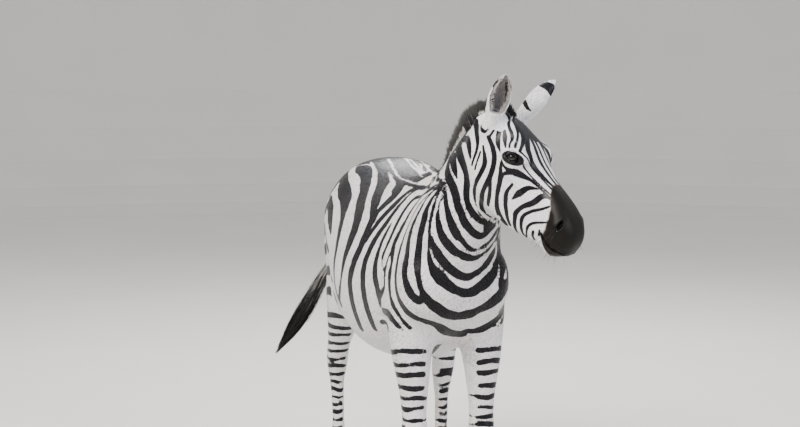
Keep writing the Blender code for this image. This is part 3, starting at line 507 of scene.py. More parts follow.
@dataclass
class Ear:
    """One ear: a cup on a round foot. Its root is in the skull's frame, its directions in the model's."""

    name: str
    root: tuple[float, float, float]
    aim: tuple[float, float, float]
    opening: tuple[float, float, float]
    foot: float
    skull: Skull
    length: float = 0.174
    wall: float = 0.0060
    radius: Keys = field(default_factory=lambda: {
        0.0: 0.027, 0.13: 0.026, 0.30: 0.031, 0.50: 0.036, 0.70: 0.0325, 0.86: 0.023, 0.95: 0.013,
        1.0: 0.006})
    wrap: Keys = field(default_factory=lambda: {
        0.0: 165.0, 0.13: 160.0, 0.30: 132.0, 0.50: 108.0, 0.70: 96.0, 0.86: 84.0, 1.0: 60.0})

    def frame(self) -> tuple[np.ndarray, ...]:
        """Root, axis, opening and sideways direction, in the profiles' frame."""
        axis = unit(np.array(self.aim))
        opening = np.array(self.opening) - np.dot(self.opening, axis) * axis
        opening = unit(opening)
        return self.skull.raw(np.array([self.root]))[0], axis, opening, np.cross(axis, opening)

    def foot_surface(self) -> Surface:
        """The ear's round foot in the head."""
        root, axis, opening, across = self.frame()
        rings = []
        for t in np.linspace(-0.22, self.foot + 0.07, 12):
            reach = smooth_curve(self.radius, [t])[0] + 0.0015
            rings.append(placed_ring(oval(reach, reach, reach, count=28), root + t * self.length * axis,
                                     across, opening))
        return loft(rings)

    def cup_surface(self, count: int = 33) -> Surface:
        """The cup: C-shaped rings, round its back from edge to edge, then back along the inside."""
        root, axis, opening, across = self.frame()
        rings = []
        for t in np.concatenate([np.linspace(self.foot - 0.10, 0.9, 24), [0.93, 0.96, 0.98, 0.99]]):
            reach = smooth_curve(self.radius, [t])[0]
            wrap = math.radians(smooth_curve(self.wrap, [t])[0])
            wall = min(self.wall, 0.8 * reach)
            turn = np.linspace(-wrap, wrap, count)
            outer = np.stack([reach * np.sin(turn), -reach * np.cos(turn)], 1)
            inner = np.stack([(reach - wall) * np.sin(turn), -(reach - wall) * np.cos(turn)], 1)[::-1]
            edge = 0.35 * wall / reach
            rim = np.stack([(reach - wall / 2) * np.sin([wrap + edge, -wrap - edge]),
                            -(reach - wall / 2) * np.cos([wrap + edge, -wrap - edge])], 1)
            ring = np.concatenate([outer, rim[:1], inner, rim[1:]])
            rings.append(placed_ring(ring, root + t * self.length * axis, across, opening))
        return loft(rings)

    def locate(self, points: np.ndarray) -> tuple[np.ndarray, ...]:
        """Where points of the model lie in the ear: share of its length, turn round its back and reach."""
        root, axis, opening, across = self.frame()
        offset = points + ORIGIN - root
        side, front = offset @ across, -(offset @ opening)
        return (offset @ axis) / self.length, np.arctan2(side, front), np.hypot(side, front)


@dataclass
class Leg:
    """One leg, keyed by height: the middle's x, reach to front and back, half-width, and the middle's y."""

    name: str
    side: int
    fore: bool
    stance: tuple[float, float]
    profile: Keys
    hock: float = 0.50

    def middle(self, z: np.ndarray) -> np.ndarray:
        """The leg's middle at each height, in the profiles' frame."""
        rows = smooth_curve(self.profile, z)
        highest = max(self.profile)
        share = np.clip((highest - z) / (highest - self.hock), 0, 1)
        share = share * share * (3 - 2 * share)
        x = rows[:, 0] + self.stance[0] * share
        y = self.side * (rows[:, 4] + self.stance[1] * share)
        return swayed(np.stack([x, y, z], 1))

    def surface(self) -> Surface:
        """The leg from inside the trunk to inside the hoof."""
        heights = np.arange(max(self.profile), min(self.profile), -0.009)
        rings = []
        for row, centre in zip(smooth_curve(self.profile, heights), self.middle(heights)):
            ring = oval(row[3], row[1], row[2], 2.1, 2.1, count=40)
            rings.append(placed_ring(ring, centre, np.array([0, 1, 0]), np.array([1, 0, 0])))
        return loft(rings)


FORELEG: Keys = {
    1.00: (0.440, 0.120, 0.150, 0.066, 0.118), 0.90: (0.430, 0.110, 0.150, 0.078, 0.124),
    0.80: (0.428, 0.084, 0.128, 0.078, 0.125), 0.72: (0.428, 0.070, 0.105, 0.073, 0.124),
    0.64: (0.430, 0.062, 0.072, 0.063, 0.123), 0.56: (0.432, 0.050, 0.054, 0.051, 0.121),
    0.48: (0.434, 0.042, 0.042, 0.044, 0.120), 0.425: (0.436, 0.047, 0.040, 0.046, 0.119),
    0.375: (0.436, 0.038, 0.040, 0.037, 0.118), 0.33: (0.434, 0.026, 0.036, 0.028, 0.117),
    0.25: (0.432, 0.023, 0.035, 0.025, 0.116), 0.20: (0.431, 0.026, 0.037, 0.028, 0.116),
    0.165: (0.432, 0.034, 0.040, 0.035, 0.116), 0.13: (0.442, 0.030, 0.034, 0.030, 0.116),
    0.095: (0.456, 0.028, 0.032, 0.029, 0.116), 0.065: (0.470, 0.034, 0.038, 0.036, 0.116),
    0.040: (0.476, 0.035, 0.039, 0.0365, 0.116), 0.005: (0.478, 0.033, 0.037, 0.035, 0.116),
}
HINDLEG: Keys = {
    1.02: (-0.430, 0.150, 0.190, 0.075, 0.130), 0.92: (-0.425, 0.160, 0.218, 0.090, 0.140),
    0.84: (-0.415, 0.150, 0.202, 0.088, 0.146), 0.76: (-0.415, 0.122, 0.158, 0.080, 0.149),
    0.68: (-0.440, 0.088, 0.108, 0.066, 0.149), 0.61: (-0.475, 0.062, 0.080, 0.052, 0.148),
    0.555: (-0.508, 0.052, 0.072, 0.044, 0.147), 0.51: (-0.528, 0.050, 0.066, 0.043, 0.146),
    0.46: (-0.540, 0.042, 0.048, 0.038, 0.145), 0.41: (-0.545, 0.030, 0.040, 0.030, 0.144),
    0.32: (-0.543, 0.026, 0.038, 0.027, 0.142), 0.22: (-0.540, 0.027, 0.038, 0.028, 0.141),
    0.175: (-0.538, 0.036, 0.043, 0.036, 0.141), 0.135: (-0.526, 0.031, 0.036, 0.031, 0.141),
    0.095: (-0.510, 0.029, 0.033, 0.030, 0.141), 0.065: (-0.497, 0.033, 0.037, 0.035, 0.141),
    0.040: (-0.490, 0.034, 0.038, 0.0355, 0.141), 0.005: (-0.487, 0.032, 0.036, 0.034, 0.141),
}


@dataclass
class Tail:
    """The tail, keyed from its root (0) to the last hair (1), swung to the right."""

    line: Keys = field(default_factory=lambda: {
        0.0: (-0.640, 0.020, 1.130), 0.12: (-0.705, 0.012, 1.075), 0.27: (-0.735, -0.060, 0.985),
        0.46: (-0.742, -0.160, 0.850), 0.72: (-0.752, -0.275, 0.650), 1.0: (-0.762, -0.388, 0.484)})
    dock_radius: Keys = field(default_factory=lambda: {0.0: 0.036, 0.12: 0.031, 0.27: 0.022, 0.46: 0.016,
                                                       0.60: 0.013})
    tuft_radius: Keys = field(default_factory=lambda: {
        0.30: 0.016, 0.44: 0.017, 0.52: 0.030, 0.66: 0.040, 0.82: 0.030, 0.93: 0.014, 1.0: 0.004})

    def centres(self, steps: np.ndarray) -> np.ndarray:
        """The tail's middle line, in the profiles' frame."""
        return swayed(smooth_curve(self.line, steps))

    def frames(self, steps: np.ndarray) -> tuple[np.ndarray, ...]:
        """Centre, side, up and ahead along the tail."""
        centres = self.centres(steps)
        ahead = unit(self.centres(steps + 0.01) - self.centres(steps - 0.01))
        side = unit(np.cross(ahead, [1.0, 0.0, 0.0]))
        return centres, side, np.cross(ahead, side), ahead

    def dock_surface(self) -> Surface:
        """The fleshy part of the tail."""
        steps = np.linspace(0.0, 0.58, 40)
        rings = []
        for t, centre, side, up, _ in zip(steps, *self.frames(steps)):
            reach = smooth_curve(self.dock_radius, [t])[0]
            rings.append(placed_ring(oval(reach, reach, reach, count=24), centre, side, up))
        return loft(rings)

    def locate(self, points: np.ndarray) -> tuple[np.ndarray, ...]:
        """Where points of the model lie along the tail: share, turn round it and distance from its middle."""
        steps = np.linspace(0, 1, 101)
        centres, side, up, _ = self.frames(steps)
        raw = points + ORIGIN
        gap = ((raw[:, None, :] - centres[None]) ** 2).sum(2)
        nearest = gap.argmin(1)
        offset = raw - centres[nearest]
        turn = np.arctan2((offset * side[nearest]).sum(1), (offset * up[nearest]).sum(1))
        return steps[nearest], turn, np.sqrt(gap.min(1))


class Zebra:
    """The whole animal's shape."""

    def __init__(self) -> None:
        """Sets the parts up in the pose."""
        self.trunk = Trunk()
        self.neck = Neck()
        self.skull = Skull()
        self.tail = Tail()
        self.ears = (
            Ear("right", (0.014, -0.062, -0.052), (0.330, 0.200, 0.925), (0.98, -0.10, 0.0), 0.21,
                self.skull),
            Ear("left", (0.008, 0.088, -0.033), (0.230, 0.655, 0.725), (-0.30, 0.62, -0.50), 0.13,
                self.skull),
        )
        self.legs = (
            Leg("fore_left", 1, True, (0.0, 0.006), FORELEG),
            Leg("fore_right", -1, True, (0.0, -0.010), FORELEG),
            Leg("hind_left", 1, False, (0.28, 0.020), HINDLEG),
            Leg("hind_right", -1, False, (0.0, 0.040), HINDLEG),
        )

    def body_surfaces(self) -> list[Surface]:
        """Trunk, legs, tail, neck and head, for the coarser skin of the body."""
        surfaces = [(swayed(points), faces) for points, faces in self.trunk.surfaces()]
        surfaces += [leg.surface() for leg in self.legs]
        surfaces += [self.tail.dock_surface(), self.neck.surface(), *self.skull.surfaces()]
        return surfaces

    def head_surfaces(self) -> list[Surface]:
        """Neck, head and ears, for the finer skin of the head."""
        return [self.neck.surface(), *self.skull.surfaces(),
                *(ear.foot_surface() for ear in self.ears), *(ear.cup_surface() for ear in self.ears)]

    def mirrored(self, points: np.ndarray) -> np.ndarray:
        """Points reflected to the other side, along the bow of the spine and the turn of the neck."""
        raw = points + ORIGIN
        bow = swayed(np.stack([raw[:, 0], np.zeros(len(raw)), raw[:, 2]], 1))[:, 1]
        barrel = points.copy()
        barrel[:, 1] = 2 * (bow - ORIGIN[1]) - points[:, 1]
        share, sideways, _, side = self.neck.locate(points)
        bent = points - 2 * sideways[:, None] * side
        head = self.skull.into(points)
        head[:, 1] *= -1
        head = self.skull.out(head)
        in_neck = step_between(0.10, 0.35, share)[:, None]
        in_head = step_between(0.85, 1.0, share)[:, None]
        mixed = barrel * (1 - in_neck) + bent * in_neck
        return mixed * (1 - in_head) + head * in_head


# ---------------------------------------------------------------- the skin


@dataclass
class Eye:
    """An eyeball in the skull's frame and the almond that its lids leave open."""

    centre: tuple[float, float, float] = (0.150, 0.0805, -0.034)
    radius: float = 0.021
    half_length: float = 0.0185
    upper: float = 0.0105
    lower: float = 0.0085
    lid: float = 0.0022
    long_way: tuple[float, float] = (0.80, 0.60)  # the almond's long axis on the cheek: forward, up
    outward: tuple[float, float, float] = (0.20, 0.965, 0.15)

    def axes(self, side: int) -> tuple[np.ndarray, ...]:
        """Centre, long axis, upward axis and outward axis of one eye, in the skull's frame."""
        flip = np.array([1.0, side, 1.0])
        out = unit(np.array(self.outward) * flip)
        long_axis = np.array([self.long_way[0], 0.0, self.long_way[1]])
        long_axis = unit(long_axis - (long_axis @ out) * out)
        up = np.cross(out, long_axis)
        up = up * np.sign(up[2])
        return np.array(self.centre) * flip, long_axis, up, out

    def almond(self, a: np.ndarray, b: np.ndarray) -> np.ndarray:
        """Signed distance from the lids' edge: below 0 where the ball shows."""
        found = []
        for height, sign in ((self.upper, 1.0), (self.lower, -1.0)):
            reach = (self.half_length**2 + height**2) / (2 * height)
            found.append(np.hypot(a, b - sign * (height - reach)) - reach)
        return np.maximum(*found)


@dataclass
class FaceRelief:
    """Bones, hollows, nostrils and mouth over the skull's loft, in the skull's frame, for both sides.

    Each swell is centre, radii and height; heights below 0 are hollows.
    """

    swells: dict[str, tuple] = field(default_factory=lambda: {
        "cheek_crest_back": ((0.205, 0.082, -0.078), (0.030, 0.03, 0.009), 0.0035),
        "cheek_crest_front": ((0.255, 0.066, -0.080), (0.034, 0.03, 0.009), 0.0040),
        "chewing_muscle": ((0.105, 0.070, -0.160), (0.060, 0.04, 0.045), 0.0045),
        "hollow_over_eye": ((0.092, 0.062, -0.012), (0.020, 0.03, 0.016), -0.0050),
        "hollow_before_eye": ((0.205, 0.070, -0.040), (0.020, 0.03, 0.014), -0.0030),
        "nose_side": ((0.290, 0.060, -0.055), (0.050, 0.03, 0.020), -0.0035),
        "false_nostril": ((0.365, 0.060, -0.048), (0.022, 0.03, 0.012), -0.0035),
        "nostril_wing": ((0.405, 0.062, -0.050), (0.022, 0.03, 0.020), 0.0050),
        "upper_lip": ((0.455, 0.040, -0.075), (0.022, 0.04, 0.018), 0.0035),
        "mouth_corner": ((0.388, 0.060, -0.110), (0.012, 0.03, 0.012), 0.0025),
        "chin": ((0.445, 0.015, -0.148), (0.022, 0.03, 0.016), 0.0050),
        "jaw_bar": ((0.300, 0.050, -0.165), (0.050, 0.03, 0.014), 0.0025),
    })
    lips: tuple = ((0.392, -0.103), (0.415, -0.106), (0.440, -0.104), (0.462, -0.098), (0.480, -0.092),
                   (0.50, -0.089))
    lip_depth: float = 0.0060
    lip_width: float = 0.0028
    nostril: tuple[float, float] = (0.413, -0.033)
    nostril_axis: tuple[float, float] = (-0.42, 0.91)
    nostril_half: tuple[float, float] = (0.0170, 0.0072)
    nostril_depth: float = 0.016
    nostril_lip: float = 0.0030
    wrinkles: tuple[float, ...] = (0.0065, 0.0115, 0.0170)  # folds round the lids, from their edge

    def mouth_gap(self, points: np.ndarray) -> np.ndarray:
        """Distance of skull points from the line where the lips meet, seen from the side."""
        line = np.array(self.lips)
        best = np.full(len(points), 1.0)
        for start, end in zip(line[:-1], line[1:]):
            way = end - start
            share = np.clip(((points[:, [0, 2]] - start) @ way) / (way @ way), 0, 1)
            best = np.minimum(best, np.linalg.norm(points[:, [0, 2]] - start - share[:, None] * way, axis=1))
        return best

    def nostril_reach(self, points: np.ndarray) -> np.ndarray:
        """How far skull points are from a nostril's middle, 1 at its rim."""
        axis = np.array(self.nostril_axis)
        offset = points[:, [0, 2]] - np.array(self.nostril)
        along = offset @ axis
        across = offset @ np.array([axis[1], -axis[0]]) + 7.0 * along**2
        reach = np.hypot(along / self.nostril_half[0], across / self.nostril_half[1])
        return np.where(np.abs(points[:, 1]) > 0.030, reach, 9.0)


class Skin:
    """One skin over the flesh, finer on the head, with lids, nostrils, lips and tendons."""

    body_voxel = 0.0104
    head_voxel = 0.0040
    seam = 0.60  # where the two finenesses join, along the neck
    depth = 0.0030  # how deep the skin lies under the coat's tips

    def __init__(self, zebra: Zebra) -> None:
        """Keeps the shape that the skin covers."""
        self.zebra = zebra
        self.eye = Eye()
        self.relief = FaceRelief()

    def ear_share(self, points: np.ndarray) -> np.ndarray:
        """1 in the ears' cups, 0 elsewhere."""
        best = np.zeros(len(points))
        for ear in self.zebra.ears:
            t, _, reach = ear.locate(points)
            inside = step_between(ear.foot - 0.06, ear.foot + 0.10, t) * (reach < 0.05) * (t < 1.2)
            best = np.maximum(best, inside)
        return best

    def grow(self, surfaces: list[Surface], voxel: float, head: bool) -> bpy.types.Mesh:
        """A relaxed skin over the given lofts, in the model's frame."""
        mesh = remeshed(joined(surfaces), voxel)
        set_coordinates(mesh, coordinates(mesh) - ORIGIN)
        co = coordinates(mesh)
        relaxer = Relaxer(mesh)
        if head:
            share = 1 - self.ear_share(co)
            relaxer.fill_creases(150, share)
            relaxer.soften(26, 0.15 + 0.85 * share)
            return mesh
        raw = co + ORIGIN
        low = np.clip((raw[:, 2] - 0.62) / 0.2, 0, 1)
        upper = step_between(1.08, 1.22, raw[:, 2])
        front = 1 - upper * (1 - np.clip((0.62 - raw[:, 0]) / 0.12, 0, 1))
        rear = np.clip((raw[:, 0] + 0.70) / 0.05, 0, 1)
        share = np.minimum(low * front, rear)
        ones = np.ones(len(co))
        relaxer.fill_creases(70, ones, share)
        relaxer.soften(6, ones)
        relaxer.soften(60, share)
        return mesh

    def halves(self) -> bmesh.types.BMesh:
        """Body and head skins cut at the neck and joined."""
        body = self.grow(self.zebra.body_surfaces(), self.body_voxel, False)
        head = self.grow(self.zebra.head_surfaces(), self.head_voxel, True)
        throat, depth, _, side, up, ahead = self.zebra.neck.frames(np.linspace(0, 1, 101))
        at = int(round(self.seam * 100))
        point = throat[at] + 0.5 * depth[at] * up[at] - ORIGIN
        way = ahead[at]
        work = bmesh.new()
        for mesh, shift, clear_outer in ((body, -0.005, True), (head, 0.004, False)):
            part = bmesh.new()
            part.from_mesh(mesh)
            bmesh.ops.bisect_plane(part, geom=[*part.verts, *part.edges, *part.faces],
                                   plane_co=Vector(point + shift * way),
                                   plane_no=Vector(way), clear_outer=clear_outer, clear_inner=not clear_outer)
            cut = bpy.data.meshes.new("cut")
            part.to_mesh(cut)
            part.free()
            work.from_mesh(cut)
        rims = [edge for edge in work.edges if edge.is_boundary]
        bmesh.ops.bridge_loops(work, edges=rims)
        self.seam_point, self.seam_way = point, way
        return work

    def refine(self, work: bmesh.types.BMesh) -> None:
        """Splits faces round eyes, nostrils and lips."""
        skull = self.zebra.skull
        for step, reach in ((0, 1.0), (1, 0.62)):
            points = skull.into(np.array([face.calc_center_median() for face in work.faces]))
            near = np.zeros(len(points), bool)
            for side in (1, -1):
                centre, *_ = self.eye.axes(side)
                near |= np.linalg.norm(points - centre, axis=1) < 0.040 * reach + 0.006
            if step == 0:
                near |= self.relief.nostril_reach(points) < 1.9
                near |= (self.relief.mouth_gap(points) < 0.008) & (points[:, 0] > 0.38)
            chosen = [face for face, yes in zip(work.faces, near) if yes]
            edges = list({edge for face in chosen for edge in face.edges})
            bmesh.ops.subdivide_edges(work, edges=edges, cuts=1, use_grid_fill=True)

    def shape_face(self, mesh: bpy.types.Mesh) -> None:
        """Raises the bones, sinks the hollows and opens lids, nostrils and mouth."""
        skull = self.zebra.skull
        co = coordinates(mesh)
        out = skull.directions(normals(mesh), back=True)
        at = skull.into(co)
        mirrored = at * np.array([1.0, 0.0, 1.0]) + np.abs(at[:, 1:2]) * np.array([0.0, 1.0, 0.0])
        near = (np.abs(at[:, 1]) < 0.16) & (at[:, 0] > -0.05) & (at[:, 0] < 0.55) & (at[:, 2] > -0.28)
        near &= self.ear_share(co) < 0.3
        lift = np.zeros(len(co))
        for centre, radii, height in self.relief.swells.values():
            gap = ((mirrored - np.array(centre)) / np.array(radii)) ** 2
            lift += height * np.exp(-gap.sum(1))
        mouth = self.relief.mouth_gap(at)
        inside_mouth = (at[:, 0] > 0.385) & near
        lift -= np.where(inside_mouth, self.relief.lip_depth
                         * np.exp(-((mouth / self.relief.lip_width) ** 2)), 0)
        lift += np.where(inside_mouth, 0.0016 * np.exp(-(((mouth - 0.006) / 0.003) ** 2)), 0)
        reach = self.relief.nostril_reach(at)
        lift += self.relief.nostril_lip * np.exp(-(((reach - 1.25) / 0.28) ** 2))
        moved = at + (lift * near)[:, None] * out
        sink = self.relief.nostril_depth * (1 - step_between(0.45, 1.0, reach)) * near
        inward = np.stack([-0.35 * np.ones(len(at)), -np.sign(at[:, 1]), 0.15 * np.ones(len(at))], 1)
        moved += sink[:, None] * unit(inward)
        for side in (1, -1):
            moved = self.open_lids(moved, side)
        set_coordinates(mesh, skull.out(moved))

    def open_lids(self, at: np.ndarray, side: int) -> np.ndarray:
        """Lays the lids over one eyeball and opens the almond between them."""
        eye = self.eye
        centre, long_axis, up, out = eye.axes(side)
        offset = at - centre
        a, b, e = offset @ long_axis, offset @ up, offset @ out
        near = (np.hypot(a, b) < 0.045) & (e > -0.03)
        edge = eye.almond(a, b)
        radial = np.hypot(a, b)
        snap = near & (np.abs(edge) < 0.0009)
        way = np.stack([a, b * 2.2], 1)
        way /= np.maximum(np.linalg.norm(way, axis=1, keepdims=True), 1e-9)
        a = np.where(snap, a - edge * way[:, 0], a)
        b = np.where(snap, b - edge * way[:, 1], b)
        edge = np.where(snap, 0.0004, edge)
        ball = np.sqrt(np.maximum((eye.radius + eye.lid) ** 2 - a**2 - b**2, 0.0))
        thick = eye.lid * 0.8 * np.exp(-((edge / 0.003) ** 2))
        folds = sum(-0.0014 * np.exp(-(((edge - w) / 0.0016) ** 2)) for w in self.relief.wrinkles)
        folds = folds * np.where(b > -0.004, 1.0, 0.45)
        over = ball * 1.0 + thick
        blend = 1 - step_between(0.004, 0.021, edge)
        tucked = np.where(radial < eye.radius + eye.lid, np.maximum(over, e * 0.35 + over * 0.65), e)
        lid = e * (1 - blend) + tucked * blend + folds * (edge > 0.001)
        hidden = np.sqrt(np.maximum((eye.radius - 0.004) ** 2 - a**2 - b**2, 0.0)) - 0.001
        new = np.where(edge < 0, hidden, np.maximum(lid, e * (1 - blend) + blend * (ball - 0.0005)))
        placed = centre + a[:, None] * long_axis + b[:, None] * up + new[:, None] * out
        return np.where(near[:, None], placed, at)

    def shape_body(self, mesh: bpy.types.Mesh) -> None:
        """Draws tendons on the legs and folds at the elbow and flank."""
        co = coordinates(mesh)
        out = normals(mesh)
        lift = np.zeros(len(co))
        for leg in self.zebra.legs:
            middle = leg.middle(np.clip(co[:, 2], 0.01, 1.0)) - ORIGIN
            offset = co - middle
            near = (np.hypot(offset[:, 0], offset[:, 1]) < 0.075) & (co[:, 2] < 0.60)
            turn = np.degrees(np.abs(np.arctan2(offset[:, 1], offset[:, 0])))
            cannon = step_between(0.18, 0.23, co[:, 2]) * (1 - step_between(0.34, 0.42, co[:, 2]))
            groove = -0.0045 * np.exp(-(((turn - 118) / 14) ** 2)) * cannon
            joint = 0.42 if leg.fore else 0.53
            knee = 0.0030 * np.exp(-(((co[:, 2] - joint) / 0.035) ** 2)) * np.exp(-((turn / 50) ** 2))
            ergot = 0.0050 * np.exp(-(((co[:, 2] - 0.160) / 0.016) ** 2)) * np.exp(-(((180 - turn)
                    / 26) ** 2))
            lift += near * (groove + knee + ergot)
        folds = (
            ((0.245, -0.18, 0.80), (0.06, 0.08, 0.010), -0.006),
            ((0.245, 0.22, 0.80), (0.06, 0.08, 0.010), -0.006),
            ((-0.29, -0.20, 0.84), (0.015, 0.10, 0.09), -0.006),
            ((-0.22, 0.24, 0.84), (0.015, 0.10, 0.09), -0.006),
        )
        for centre, radii, height in folds:
            lift += height * np.exp(-(((co - np.array(centre)) / np.array(radii)) ** 2).sum(1))
        set_coordinates(mesh, co + lift[:, None] * out)

    def build(self) -> bpy.types.Mesh:
        """The finished skin's mesh, in the model's frame."""
        work = self.halves()
        self.refine(work)
        mesh = bpy.data.meshes.new("skin")
        work.to_mesh(mesh)
        work.free()
        co = coordinates(mesh)
        relaxer = Relaxer(mesh)
        seam = np.exp(-((((co - self.seam_point) @ self.seam_way) / 0.020) ** 2)) * (co[:, 2] > 1.0)
        skull_points = self.zebra.skull.into(co)
        fine = np.zeros(len(co))
        for side in (1, -1):
            centre, *_ = self.eye.axes(side)
            fine = np.maximum(fine, 1 - step_between(0.035, 0.050,
                                                     np.linalg.norm(skull_points - centre, axis=1)))
        fine = np.maximum(fine, 1 - step_between(1.8, 2.3, self.relief.nostril_reach(skull_points)))
        relaxer.soften(24, np.clip(seam, 0, 1))
        relaxer.soften(6, fine)
        co = coordinates(mesh)
        low = 1 - step_between(0.35, 0.75, co[:, 2])
        head = step_between(-0.06, 0.02, self.zebra.skull.into(co)[:, 0]) * (co[:, 2] > 1.05)
        sink = self.depth * (1 - 0.45 * np.maximum(low, head))
        sink *= 1 - 0.85 * self.ear_share(co)
        set_coordinates(mesh, co - sink[:, None] * normals(mesh))
        self.shape_body(mesh)
        self.shape_face(mesh)
        mesh.polygons.foreach_set("use_smooth", np.ones(len(mesh.polygons), bool))
        return mesh


# ---------------------------------------------------------------- markings


class Chart(Enum):
    """The flat views in which strokes are drawn, each with the ray that lays a point on the skin."""

    FLANK = "flank"  # (x, z) seen from the right
    CHEST = "chest"  # (y, z) seen from the front
    BELLY = "belly"  # (x, y) seen from below
    CHEEK = "cheek"  # (u, z) of the skull seen from the right
    BROW = "brow"  # (u, y) of the skull seen from above the face
    VIEW = "view"  # (across, up) on a sheet square to the main camera's view


@dataclass(frozen=True)
class Stroke:
    """One black band: a line through one or more charts.

    The half-widths are spread along its flat charts; each point of its view carries its own.
    """

    widths: tuple[float, ...] = ()
    flank: Path = ()
    chest: Path = ()
    belly: Path = ()
    cheek: Path = ()
    brow: Path = ()
    view: tuple[tuple[float, float, float], ...] = ()
    across: int = 0  # runs on over the chest, its first few points mirrored to end it on the left side
    mirrored: bool = True
    white: bool = False  # a thin light line drawn over the black

    def parts(self) -> list[tuple[Chart, Path]]:
        """The charts that the stroke uses, in order."""
        every = ((Chart.FLANK, self.flank), (Chart.CHEST, self.chest), (Chart.BELLY, self.belly),
                 (Chart.CHEEK, self.cheek), (Chart.BROW, self.brow), (Chart.VIEW, self.view))
        return [(chart, path) for chart, path in every if path]


